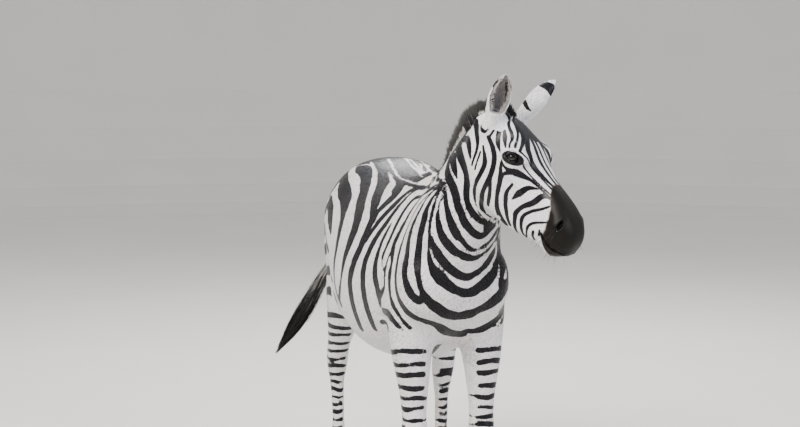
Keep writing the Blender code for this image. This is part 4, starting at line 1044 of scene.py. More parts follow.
# A view point is a place as the main camera sees it, not a size of the animal.
BODY_BANDS = (
    Stroke((0.010, 0.014, 0.016, 0.018, 0.020), flank=((-0.78, 0.910), (-0.74, 0.960), (-0.70, 1.010),
        (-0.62, 1.080), (-0.53, 1.110)), view=((-0.240, 0.035, 0.0133), (-0.233, 0.012, 0.0167),
        (-0.233, -0.015, 0.0150), (-0.230, -0.065, 0.0050))),
    Stroke((0.010, 0.013, 0.015, 0.017, 0.020), flank=((-0.81, 0.985), (-0.77, 1.035), (-0.70, 1.085),
        (-0.61, 1.145), (-0.51, 1.185)), view=((-0.183, 0.125, 0.0167), (-0.187, 0.098, 0.0233),
        (-0.180, 0.045, 0.0200), (-0.190, -0.008, 0.0117), (-0.212, -0.115, 0.0092),
        (-0.220, -0.195, 0.0067), (-0.215, -0.248, 0.0058), (-0.197, -0.302, 0.0083))),
    Stroke((0.010, 0.012, 0.013, 0.015, 0.018), flank=((-0.81, 1.060), (-0.77, 1.105), (-0.70, 1.155),
        (-0.59, 1.205), (-0.50, 1.240)), view=((-0.120, 0.145, 0.0250), (-0.122, 0.072, 0.0150),
        (-0.155, -0.062, 0.0167), (-0.183, -0.142, 0.0092), (-0.197, -0.222, 0.0042),
        (-0.202, -0.275, 0.0067))),
    Stroke((0.010, 0.012, 0.013, 0.015), flank=((-0.80, 1.135), (-0.74, 1.185), (-0.65, 1.230),
        (-0.52, 1.268)), view=((-0.060, 0.168, 0.0183), (-0.053, 0.145, 0.0200), (-0.060, 0.098, 0.0200),
        (-0.085, 0.018, 0.0133), (-0.087, -0.008, 0.0133), (-0.113, -0.062, 0.0083),
        (-0.122, -0.088, 0.0117), (-0.163, -0.195, 0.0100), (-0.167, -0.222, 0.0100),
        (-0.163, -0.275, 0.0100), (-0.150, -0.329, 0.0092), (-0.130, -0.382, 0.0083))),
    Stroke((0.010,), flank=((-0.50, 1.288),), view=((-0.023, 0.162, 0.0100), (-0.003, 0.145, 0.0150),
        (0.010, 0.125, 0.0200), (0.000, 0.098, 0.0200), (-0.010, 0.072, 0.0150), (-0.083, -0.002, 0.0067))),
    Stroke(view=((0.100, 0.097, 0.0025), (0.023, 0.068, 0.0058), (-0.030, 0.018, 0.0083),
        (-0.077, -0.035, 0.0067), (-0.113, -0.088, 0.0067))),
    Stroke(view=((0.107, 0.088, 0.0020), (0.043, 0.072, 0.0033), (-0.048, -0.035, 0.0075),
        (-0.110, -0.142, 0.0092), (-0.123, -0.195, 0.0100), (-0.123, -0.248, 0.0100),
        (-0.097, -0.355, 0.0092), (-0.085, -0.382, 0.0075))),
    Stroke(view=((-0.030, -0.035, 0.0033), (-0.068, -0.115, 0.0058), (-0.082, -0.168, 0.0083),
        (-0.082, -0.222, 0.0108), (-0.070, -0.275, 0.0117), (-0.067, -0.302, 0.0067))),
    Stroke(view=((0.137, 0.102, 0.0017), (0.077, 0.062, 0.0033), (0.040, 0.043, 0.0050),
        (0.020, 0.018, 0.0058), (-0.035, -0.088, 0.0050), (-0.057, -0.142, 0.0042),
        (-0.060, -0.168, 0.0033), (-0.053, -0.192, 0.0025))),
    Stroke(view=((0.138, 0.098, 0.0017), (0.120, 0.088, 0.0020), (0.043, 0.018, 0.0050),
        (0.013, -0.035, 0.0067), (-0.022, -0.115, 0.0075), (-0.028, -0.168, 0.0042),
        (-0.033, -0.195, 0.0067), (-0.032, -0.275, 0.0050), (-0.025, -0.302, 0.0067),
        (-0.010, -0.329, 0.0067), (0.008, -0.355, 0.0050), (0.033, -0.382, 0.0083))),
    Stroke(view=((-0.023, -0.115, 0.0033), (-0.038, -0.145, 0.0033), (-0.050, -0.195, 0.0033),
        (-0.053, -0.248, 0.0042), (-0.063, -0.268, 0.0067))),
    Stroke(view=((0.140, 0.098, 0.0017), (0.057, 0.018, 0.0033), (-0.005, -0.142, 0.0050),
        (-0.013, -0.195, 0.0067), (-0.013, -0.248, 0.0067), (0.005, -0.302, 0.0083),
        (0.025, -0.329, 0.0100), (0.050, -0.347, 0.0083), (0.110, -0.367, 0.0083), (0.187, -0.402, 0.0133),
        (0.203, -0.404, 0.0100), (0.220, -0.392, 0.0083), (0.240, -0.392, 0.0100), (0.320, -0.352, 0.0100),
        (0.360, -0.319, 0.0083)), across=7),
    Stroke(view=((0.142, 0.098, 0.0017), (0.083, 0.042, 0.0037), (0.070, 0.018, 0.0042),
        (0.025, -0.115, 0.0083), (0.017, -0.168, 0.0100), (0.017, -0.222, 0.0100), (0.025, -0.248, 0.0133),
        (0.040, -0.275, 0.0133), (0.063, -0.292, 0.0133))),
    Stroke(view=((0.143, 0.098, 0.0017), (0.090, 0.018, 0.0067), (0.083, -0.008, 0.0100),
        (0.060, -0.142, 0.0133), (0.063, -0.222, 0.0100), (0.070, -0.248, 0.0100), (0.100, -0.298, 0.0167),
        (0.120, -0.312, 0.0175), (0.203, -0.342, 0.0158), (0.223, -0.339, 0.0158), (0.263, -0.322, 0.0117),
        (0.303, -0.300, 0.0167), (0.340, -0.267, 0.0150), (0.357, -0.238, 0.0133)), across=6),
    Stroke(view=((0.144, 0.095, 0.0017), (0.115, 0.032, 0.0050), (0.108, 0.005, 0.0058),
        (0.097, -0.115, 0.0050), (0.097, -0.142, 0.0067), (0.103, -0.168, 0.0117), (0.117, -0.195, 0.0183),
        (0.137, -0.218, 0.0200), (0.190, -0.258, 0.0150), (0.210, -0.265, 0.0150), (0.230, -0.265, 0.0150),
        (0.270, -0.242, 0.0175), (0.290, -0.225, 0.0192), (0.310, -0.202, 0.0150), (0.320, -0.168, 0.0083),
        (0.324, -0.112, 0.0033)), across=4),
    Stroke(view=((0.105, -0.075, 0.0033), (0.113, -0.108, 0.0100), (0.123, -0.130, 0.0150),
        (0.140, -0.155, 0.0150), (0.200, -0.205, 0.0150), (0.220, -0.212, 0.0133), (0.240, -0.210, 0.0150),
        (0.260, -0.200, 0.0142), (0.300, -0.155, 0.0100), (0.324, -0.102, 0.0033)), across=4),
    Stroke((0.008, 0.009, 0.005), flank=((0.27, 1.290), (0.35, 1.268), (0.44, 1.258)),
        view=((0.145, 0.098, 0.0017), (0.130, 0.025, 0.0033), (0.125, -0.008, 0.0075),
        (0.128, -0.035, 0.0100), (0.150, -0.092, 0.0150), (0.170, -0.115, 0.0150), (0.210, -0.142, 0.0125),
        (0.250, -0.148, 0.0092), (0.290, -0.122, 0.0083), (0.325, -0.082, 0.0050)), across=8),
    Stroke((0.011, 0.012, 0.008), flank=((0.32, 1.345), (0.40, 1.310), (0.47, 1.290)),
        view=((0.145, 0.105, 0.0025), (0.157, 0.012, 0.0100), (0.177, -0.048, 0.0150),
        (0.190, -0.073, 0.0133), (0.227, -0.112, 0.0083), (0.247, -0.122, 0.0067), (0.267, -0.118, 0.0067),
        (0.283, -0.107, 0.0058), (0.300, -0.092, 0.0067), (0.327, -0.055, 0.0067)), across=7),
    Stroke((0.013, 0.013), flank=((0.38, 1.401), (0.43, 1.365)), view=((0.157, 0.145, 0.0075),
        (0.180, 0.078, 0.0142), (0.197, 0.015, 0.0133), (0.223, -0.040, 0.0142), (0.243, -0.062, 0.0133),
        (0.267, -0.075, 0.0108), (0.287, -0.068, 0.0100), (0.317, -0.038, 0.0050)), across=6),
    Stroke((0.012, 0.013), flank=((0.44, 1.454), (0.46, 1.425)), view=((0.200, 0.238, 0.0100),
        (0.220, 0.138, 0.0100), (0.225, 0.038, 0.0092), (0.235, 0.012, 0.0117), (0.252, -0.010, 0.0108),
        (0.270, -0.027, 0.0083), (0.307, -0.032, 0.0042)), across=7),
    Stroke(view=((0.168, 0.208, 0.0050), (0.177, 0.185, 0.0100), (0.180, 0.158, 0.0100),
        (0.190, 0.118, 0.0033))),
    Stroke((0.010, 0.010), flank=((0.49, 1.492), (0.51, 1.470)), view=((0.220, 0.285, 0.0067),
        (0.228, 0.235, 0.0083), (0.235, 0.185, 0.0033))),
    Stroke((0.009,), flank=((0.54, 1.515),), view=((0.248, 0.315, 0.0067), (0.258, 0.255, 0.0075),
        (0.258, 0.225, 0.0050), (0.240, 0.162, 0.0033))),
    Stroke(view=((0.268, 0.205, 0.0033), (0.250, 0.148, 0.0033))),
    Stroke(view=((0.277, 0.225, 0.0033), (0.283, 0.172, 0.0083), (0.252, 0.098, 0.0058),
        (0.248, 0.072, 0.0050), (0.250, 0.045, 0.0033), (0.260, 0.012, 0.0033), (0.277, -0.015, 0.0042))),
    Stroke(view=((0.295, 0.255, 0.0067), (0.315, 0.182, 0.0092), (0.302, 0.128, 0.0083),
        (0.277, 0.075, 0.0075), (0.272, 0.048, 0.0067), (0.272, 0.022, 0.0067), (0.290, -0.012, 0.0027)),
        mirrored=False),
    Stroke(view=((0.303, 0.125, 0.0050), (0.297, 0.052, 0.0067), (0.293, 0.028, 0.0042))),
    Stroke(view=((0.300, 0.002, 0.0025), (0.320, -0.028, 0.0033)), mirrored=False),
    Stroke(view=((0.329, -0.088, 0.0033), (0.344, -0.155, 0.0083), (0.345, -0.208, 0.0033)),
        mirrored=False),
    Stroke(view=((-0.210, 0.092, 0.0083), (-0.217, 0.065, 0.0100), (-0.205, 0.005, 0.0067),
        (-0.207, -0.035, 0.0067), (-0.227, -0.115, 0.0083), (-0.232, -0.195, 0.0067),
        (-0.228, -0.235, 0.0067), (-0.210, -0.308, 0.0067)), white=True),
    Stroke(view=((-0.160, 0.155, 0.0083), (-0.160, 0.125, 0.0100), (-0.152, 0.098, 0.0133),
        (-0.147, 0.072, 0.0100), (-0.200, -0.135, 0.0067), (-0.207, -0.202, 0.0050)), white=True),
    Stroke(view=((-0.097, 0.172, 0.0042), (-0.087, 0.148, 0.0067), (-0.085, 0.125, 0.0067),
        (-0.088, 0.098, 0.0075), (-0.105, 0.045, 0.0083), (-0.117, -0.035, 0.0067),
        (-0.145, -0.095, 0.0075), (-0.168, -0.162, 0.0067)), white=True),
    Stroke(view=((-0.037, 0.138, 0.0033), (-0.030, 0.118, 0.0042), (-0.040, 0.065, 0.0058),
        (-0.073, 0.018, 0.0033)), white=True),
    Stroke(view=((-0.040, 0.182, 0.0033), (0.070, 0.098, 0.0033), (0.093, 0.098, 0.0017)), white=True),
    Stroke(view=((0.030, 0.182, 0.0030), (0.050, 0.165, 0.0033), (0.077, 0.122, 0.0027),
        (0.100, 0.107, 0.0020)), mirrored=False, white=True),
    Stroke(view=((0.070, 0.165, 0.0027), (0.110, 0.138, 0.0027), (0.127, 0.122, 0.0020)),
        mirrored=False, white=True),
    Stroke(view=((0.093, 0.175, 0.0027), (0.133, 0.147, 0.0030), (0.147, 0.130, 0.0025)),
        mirrored=False, white=True),
    Stroke(view=((0.017, 0.112, 0.0083), (0.040, 0.102, 0.0100), (0.067, 0.090, 0.0050),
        (0.093, 0.092, 0.0033))),
    Stroke(view=((0.220, -0.075, 0.0100), (0.240, -0.092, 0.0117), (0.267, -0.098, 0.0100),
        (0.287, -0.088, 0.0083), (0.303, -0.072, 0.0070), (0.325, -0.038, 0.0033)),
        mirrored=False, white=True),
    Stroke(view=((0.190, -0.098, 0.0083), (0.230, -0.130, 0.0050), (0.250, -0.133, 0.0050),
        (0.270, -0.127, 0.0050), (0.303, -0.100, 0.0033), (0.325, -0.065, 0.0025)),
        mirrored=False, white=True),
    Stroke(view=((0.187, -0.152, 0.0083), (0.210, -0.172, 0.0133), (0.233, -0.178, 0.0150),
        (0.257, -0.168, 0.0117), (0.293, -0.135, 0.0058), (0.319, -0.095, 0.0030)),
        mirrored=False, white=True),
    Stroke(view=((0.183, -0.225, 0.0083), (0.207, -0.235, 0.0108), (0.227, -0.237, 0.0117),
        (0.250, -0.225, 0.0100), (0.270, -0.208, 0.0075), (0.290, -0.188, 0.0050), (0.307, -0.162, 0.0042),
        (0.319, -0.135, 0.0033), (0.322, -0.108, 0.0025)), mirrored=False, white=True),
    Stroke(view=((-0.057, -0.325, 0.0067), (-0.033, -0.342, 0.0083), (0.010, -0.389, 0.0050))),
    Stroke(view=((-0.063, -0.362, 0.0050), (-0.040, -0.382, 0.0067))),
    Stroke((0.010, 0.012, 0.007), flank=((0.345, 1.372), (0.39, 1.340), (0.44, 1.322))),
    Stroke((0.009, 0.010, 0.006), flank=((0.30, 1.322), (0.35, 1.292), (0.42, 1.280))),
    Stroke(view=((0.253, 0.022, 0.0033), (0.277, -0.002, 0.0050), (0.300, -0.020, 0.0050),
        (0.324, -0.032, 0.0040)), mirrored=False, white=True),
    Stroke(view=((0.293, 0.003, 0.0040), (0.310, -0.007, 0.0053), (0.330, -0.013, 0.0043)),
        mirrored=False, white=True),
    Stroke((0.014, 0.020, 0.020, 0.018, 0.008), flank=( (-0.765, 0.88), (-0.71, 0.93), (-0.65, 0.985),
        (-0.56, 1.02), (-0.46, 1.01), (-0.38, 0.985), (-0.30, 0.965))),
    Stroke((0.012, 0.018, 0.022, 0.024, 0.020, 0.010), flank=( (-0.74, 0.82), (-0.70, 0.86), (-0.62, 0.925),
        (-0.52, 0.948), (-0.40, 0.925), (-0.30, 0.890), (-0.215, 0.868))),
    Stroke((0.012, 0.017, 0.021, 0.021, 0.016, 0.008), flank=( (-0.67, 0.79), (-0.60, 0.845),
        (-0.50, 0.865), (-0.40, 0.842), (-0.30, 0.808), (-0.20, 0.785))),
    Stroke((0.010, 0.015, 0.018, 0.018, 0.010), flank=( (-0.62, 0.735), (-0.56, 0.775), (-0.48, 0.787),
        (-0.38, 0.762), (-0.28, 0.735))),
    Stroke((0.010, 0.014, 0.014, 0.010), belly=((0.26, 0.03), (0.10, 0.035), (-0.10, 0.045),
        (-0.24, 0.052)), mirrored=False),
)
FACE_LINES = (
    Stroke(view=((0.337, 0.168, 0.0050), (0.334, 0.118, 0.0083), (0.323, 0.052, 0.0067),
        (0.324, 0.018, 0.0075), (0.335, -0.012, 0.0080), (0.350, -0.032, 0.0067))),
    Stroke(view=((0.357, 0.339, 0.0033), (0.329, 0.265, 0.0083), (0.327, 0.238, 0.0083),
        (0.334, 0.205, 0.0025))),
    Stroke(view=((0.349, 0.275, 0.0050), (0.349, 0.252, 0.0083), (0.352, 0.222, 0.0033))),
    Stroke(view=((0.362, 0.329, 0.0033), (0.365, 0.285, 0.0058), (0.374, 0.262, 0.0063),
        (0.365, 0.222, 0.0033))),
    Stroke(view=((0.382, 0.308, 0.0067), (0.393, 0.265, 0.0043), (0.384, 0.222, 0.0050))),
    Stroke(view=((0.394, 0.305, 0.0067), (0.411, 0.242, 0.0067), (0.400, 0.208, 0.0050))),
    Stroke(view=((0.407, 0.302, 0.0067), (0.425, 0.252, 0.0050), (0.429, 0.205, 0.0083),
        (0.437, 0.182, 0.0060), (0.524, 0.078, 0.0027))),
    Stroke(view=((0.430, 0.262, 0.0042), (0.464, 0.182, 0.0047), (0.537, 0.078, 0.0025)), mirrored=False),
    Stroke(view=((0.444, 0.252, 0.0033), (0.479, 0.180, 0.0030), (0.530, 0.105, 0.0025)), mirrored=False),
    Stroke(view=((0.454, 0.252, 0.0033), (0.502, 0.158, 0.0027)), mirrored=False),
    Stroke(view=((0.467, 0.248, 0.0033), (0.492, 0.210, 0.0030)), mirrored=False),
    Stroke(view=((0.377, 0.322, 0.0067), (0.417, 0.282, 0.0125), (0.450, 0.250, 0.0067)), mirrored=False),
    Stroke(view=((0.344, 0.325, 0.0030), (0.298, 0.255, 0.0040))),
    Stroke(view=((0.270, 0.292, 0.0033), (0.275, 0.277, 0.0058), (0.283, 0.273, 0.0050),
        (0.293, 0.280, 0.0033))),
    Stroke(view=((0.339, 0.178, 0.0027), (0.344, 0.162, 0.0042), (0.359, 0.147, 0.0063),
        (0.387, 0.136, 0.0122), (0.434, 0.112, 0.0053), (0.497, 0.055, 0.0033))),
    Stroke(view=((0.335, 0.118, 0.0083), (0.344, 0.130, 0.0058), (0.377, 0.138, 0.0083))),
    Stroke(view=((0.409, 0.172, 0.0033), (0.415, 0.152, 0.0033), (0.434, 0.128, 0.0033),
        (0.502, 0.062, 0.0030))),
    Stroke(view=((0.405, 0.203, 0.0033), (0.437, 0.157, 0.0033), (0.510, 0.078, 0.0030))),
    Stroke(view=((0.375, 0.098, 0.0043), (0.356, 0.072, 0.0067), (0.352, 0.048, 0.0072),
        (0.367, -0.038, 0.0040))),
    Stroke(view=((0.374, 0.048, 0.0033), (0.397, 0.067, 0.0117), (0.427, 0.084, 0.0083),
        (0.460, 0.082, 0.0033))),
    Stroke(view=((0.504, 0.047, 0.0042), (0.487, 0.057, 0.0080), (0.470, 0.055, 0.0100),
        (0.454, 0.042, 0.0105), (0.397, 0.014, 0.0075), (0.385, 0.000, 0.0083), (0.383, -0.018, 0.0067),
        (0.392, -0.063, 0.0033))),
    Stroke(view=((0.497, 0.023, 0.0040), (0.405, -0.023, 0.0067), (0.404, -0.038, 0.0050),
        (0.414, -0.072, 0.0030))),
    Stroke(view=((0.497, -0.028, 0.0027), (0.424, -0.048, 0.0058), (0.422, -0.062, 0.0042),
        (0.434, -0.088, 0.0027))),
    Stroke(view=((0.444, -0.062, 0.0050), (0.442, -0.072, 0.0042), (0.447, -0.085, 0.0033))),
    Stroke(view=((0.465, -0.058, 0.0042), (0.462, -0.072, 0.0033))),
)


class Markings:
    """Lays the strokes on the skin and tells how far any point is from black."""

    muzzle_edge: Keys = {-0.16: 0.455, -0.13: 0.45, -0.12: 0.42, -0.10: 0.40, -0.08: 0.39, -0.05: 0.370,
                         -0.03: 0.350, -0.01: 0.308, 0.0: 0.288, 0.03: 0.28}
    spacing = 0.005
    sheet = 5.6  # how far from the main camera the sheet of the view chart stands
    inwards = (0.15, -0.10)  # the sheet's place towards which a point off the outline slides
    far_share = 0.85  # the width of a band past the chest, against its near side
    neck_share = 0.75  # the width of a twin on the neck, against its near side

    def __init__(self, zebra: Zebra, skin: bpy.types.Mesh, eye: Eye) -> None:
        """Lays every stroke once."""
        self.zebra = zebra
        self.eye = eye
        work = bmesh.new()
        work.from_mesh(skin)
        self.tree = BVHTree.FromBMesh(work)
        work.free()
        self.rng = np.random.default_rng(SEED)
        black, white = [], []
        for stroke in BODY_BANDS + FACE_LINES:
            (white if stroke.white else black).extend(self.laid(stroke))
        black += self.leg_rings()
        self.black, self.white = (
            tuple(np.concatenate(column).astype(np.float32) for column in zip(*found)) for found in (black,
                white))

    def on_skin(self, chart: Chart, a: float, b: float) -> tuple[Vector, Vector, Vector]:
        """The first point of the skin under a chart's point, its normal and the chart's ray."""
        skull = self.zebra.skull
        if chart is Chart.FLANK:
            start, way = Vector((a, -1.2, b)), Vector((0, 1, 0))
        elif chart is Chart.CHEST:
            start, way = Vector((1.2, a, b)), Vector((-1, 0, 0))
        elif chart is Chart.BELLY:
            start, way = Vector((a, b, 0.3)), Vector((0, 0, 1))
        elif chart is Chart.VIEW:
            turn, tilt = math.radians(CAMERA_TURN), math.radians(CAMERA_TILT)
            ahead = Vector((math.cos(turn) * math.cos(tilt), math.sin(turn) * math.cos(tilt), math.sin(tilt)))
            right = ahead.cross(Vector((0, 0, 1))).normalized()
            start = Vector(CAMERA_AT)
            for slide in np.arange(0.0, 0.6, 0.012).tolist():  # from just off the outline, inwards to it
                way = (self.sheet * ahead + (a + (self.inwards[0] - a) * slide) * right
                       + (b + (self.inwards[1] - b) * slide) * right.cross(ahead)).normalized()
                hit, out, *_ = self.tree.ray_cast(start, way)
                if hit is not None:
                    break
        elif chart is Chart.CHEEK:
            start = Vector(skull.out(np.array([[a, -0.4, b]]))[0])
            way = Vector(skull.directions(np.array([0.0, 1.0, 0.0])))
        else:
            start = Vector(skull.out(np.array([[a, b, 0.3]]))[0])
            way = Vector(skull.directions(np.array([0.0, 0.0, -1.0])))
        hit, out, *_ = self.tree.ray_cast(start, way)
        if hit is None:
            near = {Chart.FLANK: Vector((a, -0.05, b)), Chart.CHEST: Vector((0.5, a, b))}.get(chart,
                    start + 0.35 * way)
            hit, out, *_ = self.tree.find_nearest(near)
        return hit, out, way

    def run(self, anchors: np.ndarray, half: np.ndarray) -> tuple[np.ndarray, np.ndarray]:
        """Even samples of a smooth line through anchors, set on the skin, with their half-widths."""
        gaps = np.linalg.norm(np.diff(anchors, axis=0), axis=1)
        along = np.concatenate([[0], np.cumsum(np.maximum(gaps, 1e-4))])
        at = np.linspace(0, along[-1], max(int(along[-1] / self.spacing), 2) + 1)
        points = smooth_curve({float(s): tuple(p) for s, p in zip(along, anchors)}, at)
        points = np.array([self.tree.find_nearest(Vector(p))[0] for p in points])
        return points, np.interp(at, along, half)

    @staticmethod
    def stretched(anchors: np.ndarray, out: np.ndarray, ways: np.ndarray) -> np.ndarray:
        """How much wider than in its chart a band is on the skin, which slopes away from the chart."""
        course = np.gradient(anchors, axis=0)
        course -= (course * ways).sum(1, keepdims=True) * ways
        across = unit(np.cross(ways, course))
        facing = np.minimum((out * ways).sum(1), -0.2)
        return 1 + 0.75 * (np.clip(np.hypot(1.0, (out * across).sum(1) / facing), 1.0, 2.2) - 1)

    def laid(self, stroke: Stroke) -> list[tuple[np.ndarray, np.ndarray]]:
        """A stroke on the right side and, where it has one, its twin on the left."""
        laid = [self.on_skin(chart, *point[:2]) for chart, path in stroke.parts() for point in path]
        anchors, out, ways = (np.array(column) for column in zip(*laid))
        plain = len(anchors) - len(stroke.view)
        half = np.zeros(len(anchors))
        half[plain:] = [point[2] for point in stroke.view]
        if plain:
            gaps = np.linalg.norm(np.diff(anchors[:plain], axis=0), axis=1)
            share = np.concatenate([[0], np.cumsum(gaps)]) / max(gaps.sum(), 1e-6)
            half[:plain] = np.interp(share * (len(stroke.widths) - 1), np.arange(len(stroke.widths)),
                                     stroke.widths)
        half *= self.stretched(anchors, out, ways)
        if stroke.across:
            anchors = np.concatenate([anchors, self.zebra.mirrored(anchors[:stroke.across])[::-1]])
            return [self.run(anchors, np.concatenate([half, self.far_share * half[:stroke.across][::-1]]))]
        found = [self.run(anchors, half)]
        if stroke.mirrored:
            at = self.zebra.skull.into(anchors)
            on_head = at[:, 0].mean() > -0.01 and at[:, 2].mean() > -0.27
            twin = self.zebra.skull.out(at * [1, -1, 1]) if on_head else self.zebra.mirrored(anchors)
            twin = twin + self.rng.normal(0, 0.0010 if on_head else 0.0025, twin.shape)
            share, sideways, *_ = self.zebra.neck.locate(twin)
            kept = (twin[:, 1] > anchors[:, 1]) | (share < 0.15) | on_head
            if kept.sum() > 1:
                thinned = half * np.where((share > 0.15) & ~on_head, self.neck_share, 1.0)
                found.append(self.run(twin[kept], thinned[kept]))
        return found

    def leg_rings(self) -> list[tuple[np.ndarray, np.ndarray]]:
        """Rings round every leg, closer and thinner towards the hoof and broken on the inner side."""
        found = []
        for leg in self.zebra.legs:
            z = 0.700 if leg.fore else 0.690
            number = 0
            while z > 0.075:
                step = float(smooth_curve({0.05: 0.020, 0.20: 0.026, 0.40: 0.030, 0.60: 0.036, 0.76: 0.040},
                                          [z])[0])
                step *= self.rng.uniform(0.88, 1.12)
                tilt = self.rng.normal(0.02, 0.07) + (0.10 if leg.fore else -0.06) * step_between(0.5, 0.75,
                        np.array(z))
                turn = np.linspace(0, 2 * math.pi, 29)
                row = smooth_curve(leg.profile, [z])[0]
                sway = self.rng.uniform(-0.003, 0.003, 3)
                heights = z + tilt * row[1] * np.cos(turn) + sway[0] * np.sin(2
                        * turn) + sway[1] * np.cos(3 * turn)
                middle = leg.middle(heights) - ORIGIN
                ring = np.stack([np.where(np.cos(turn) > 0, row[1], row[2]) * np.cos(turn),
                                 leg.side * row[3] * np.sin(turn),
                                 np.zeros(len(turn))], 1)
                inner = step_between(0.35, 0.95, -np.sin(turn))
                half = 0.26 * step * (1 - 0.55 * inner) * self.rng.uniform(0.85, 1.12)
                if number % 3 == 2 or z > 0.58:
                    half = np.where(inner > 0.35, -0.004, half)
                found.append(self.run(middle + ring, half))
                z -= step
                number += 1
        return found

    def eye_patch(self, at: np.ndarray) -> np.ndarray:
        """Distance of skull points from the dark patch round each eye."""
        best = np.full(len(at), 0.1)
        for side in (1, -1):
            centre, long_axis, up, out = self.eye.axes(side)
            offset = at - centre
            a, b = offset @ long_axis, offset @ up
            reach = np.hypot((a - 0.003) / 0.040, (b + 0.001) / np.where(b > 0, 0.021, 0.022))
            near = np.abs(offset @ out) < 0.05
            best = np.where(near, np.minimum(best, (reach - 1) * 0.022), best)
        return best

    def ear_bands(self, points: np.ndarray) -> tuple[np.ndarray, np.ndarray]:
        """Distance from the ears' black and how far points lie inside a cup."""
        black = np.full(len(points), 0.1)
        inner = np.zeros(len(points))
        for ear in self.zebra.ears:
            t, turn, reach = ear.locate(points)
            near = (t > 0.0) & (t < 1.15) & (reach < 0.046)
            half = smooth_curve(ear.radius, np.clip(t, 0, 1))
            inside = near * (1 - step_between(-0.0035, -0.0020, reach - half)) * step_between(ear.foot
                    + 0.02, ear.foot + 0.12, t)
            inner = np.maximum(inner, inside)
            wave = 0.018 * np.sin(3.0 * turn + 1.0)
            tip = (np.abs(t - 0.80 + wave) - 0.085) * ear.length
            base = (np.abs(t - 0.28 - wave) - 0.045) * ear.length + 0.010 * (1 - np.cos(turn))
            black = np.where(near & (inside < 0.5), np.minimum(tip, base), black)
            blots = 0.006 - 0.010 * (np.cos(turn * 3.2 + 5 * t) > 0.55) * (t > 0.35) * (t < 0.85)
            black = np.where(near & (inside >= 0.5), blots, black)
        return black, inner

    @staticmethod
    def distance(points: np.ndarray, strokes: tuple[np.ndarray, np.ndarray]) -> np.ndarray:
        """How far points are from the edge of the nearest stroke, below 0 inside it and 0.08 at most."""
        flat = points.astype(np.float32)
        found = np.full(len(flat), 0.08, np.float32)
        order = np.argsort(flat[:, 0])
        for start in range(0, len(order), 3000):
            rows = order[start:start + 3000]
            block = flat[rows]
            low, high = block.min(0) - 0.08, block.max(0) + 0.08
            near = ((strokes[0] > low) & (strokes[0] < high)).all(1)
            if near.any():
                centres, reaches = strokes[0][near], strokes[1][near]
                gap = (block**2).sum(1)[:, None] + (centres**2).sum(1)[None] - 2 * block @ centres.T
                found[rows] = np.minimum(0.08, (np.sqrt(np.maximum(gap, 0)) - reaches[None]).min(1))
        return found.astype(float)

    def read(self, points: np.ndarray) -> dict[str, np.ndarray]:
        """The coat's values at points of the model.

        Args:
            points: points on or near the skin.

        Returns:
            band (distance from black, below 0 inside it), muzzle, inner (ear), dust and bare.
        """
        band = self.distance(points, self.black)
        raw = points + ORIGIN
        spine = swayed(np.stack([raw[:, 0], np.zeros(len(raw)), raw[:, 2]], 1))[:, 1]
        on_back = (raw[:, 2] > 1.12) & (raw[:, 0] < 0.34)
        off_spine = np.abs(raw[:, 1] - spine)
        saddle = np.interp(raw[:, 0], [-0.56, -0.40, 0.0, 0.16, 0.28, 0.34],
                           [0.011, 0.075, 0.092, 0.088, 0.062, 0.02])
        band = np.where(on_back, np.minimum(band, off_spine - saddle), band)
        band = np.maximum(band, -self.distance(points, self.white))
        band = np.where(on_back, np.minimum(band, off_spine - 0.009), band)
        at = self.zebra.skull.into(points)
        in_head = (at[:, 0] > 0) & (np.abs(at[:, 1]) < 0.13) & (at[:, 2] > -0.27) & (at[:, 0] < 0.55)
        band = np.where(in_head, np.minimum(band, self.eye_patch(at)), band)
        ears, inner = self.ear_bands(points)
        is_ear = ears < 0.09
        band = np.where(is_ear, ears, band)
        wobble = np.array([noise.noise(Vector(p) * 38.0) + 0.5
                           * noise.noise(Vector(p) * 95.0) for p in points])
        rough = np.where(in_head | is_ear, 0.0010, 0.0030)
        band = band + rough * wobble
        edge = smooth_curve(self.muzzle_edge, at[:, 2])
        muzzle = np.where(in_head, step_between(-0.014, 0.014, at[:, 0] - edge + 0.004 * wobble), 0.0)
        hoof = 1 - step_between(0.074, 0.090, points[:, 2] + 0.006 * wobble)
        band = np.minimum(band, np.where(hoof > 0.5, -0.01, 0.1))
        back = step_between(1.10, 1.26, points[:, 2]) * (points[:, 0] < 0.35)
        legs = 1 - step_between(0.05, 0.60, points[:, 2])
        dust = np.clip(0.30 * back + 0.55 * legs + 0.10 + 0.12 * wobble, 0, 1) * np.where(in_head, 0.5, 1.0)
        bare = self.bare(at, in_head)
        return {"band": band, "muzzle": muzzle, "inner": inner, "dust": dust, "bare": bare}

    def bare(self, at: np.ndarray, in_head: np.ndarray) -> np.ndarray:
        """1 on the lids' edges and in the nostrils and lips, where no hair grows."""
        relief = FaceRelief()
        found = 1 - step_between(0.9, 1.35, relief.nostril_reach(at))
        found = np.maximum(found, (1 - step_between(0.003, 0.008, relief.mouth_gap(at))) * (at[:, 0] > 0.385))
        for side in (1, -1):
            centre, long_axis, up, out = self.eye.axes(side)
            offset = at - centre
            edge = self.eye.almond(offset @ long_axis, offset @ up)
            near = np.linalg.norm(offset, axis=1) < 0.045
            found = np.maximum(found, near * (1 - step_between(0.0015, 0.0045, edge)))
        return found * in_head


# ---------------------------------------------------------------- unwrapping


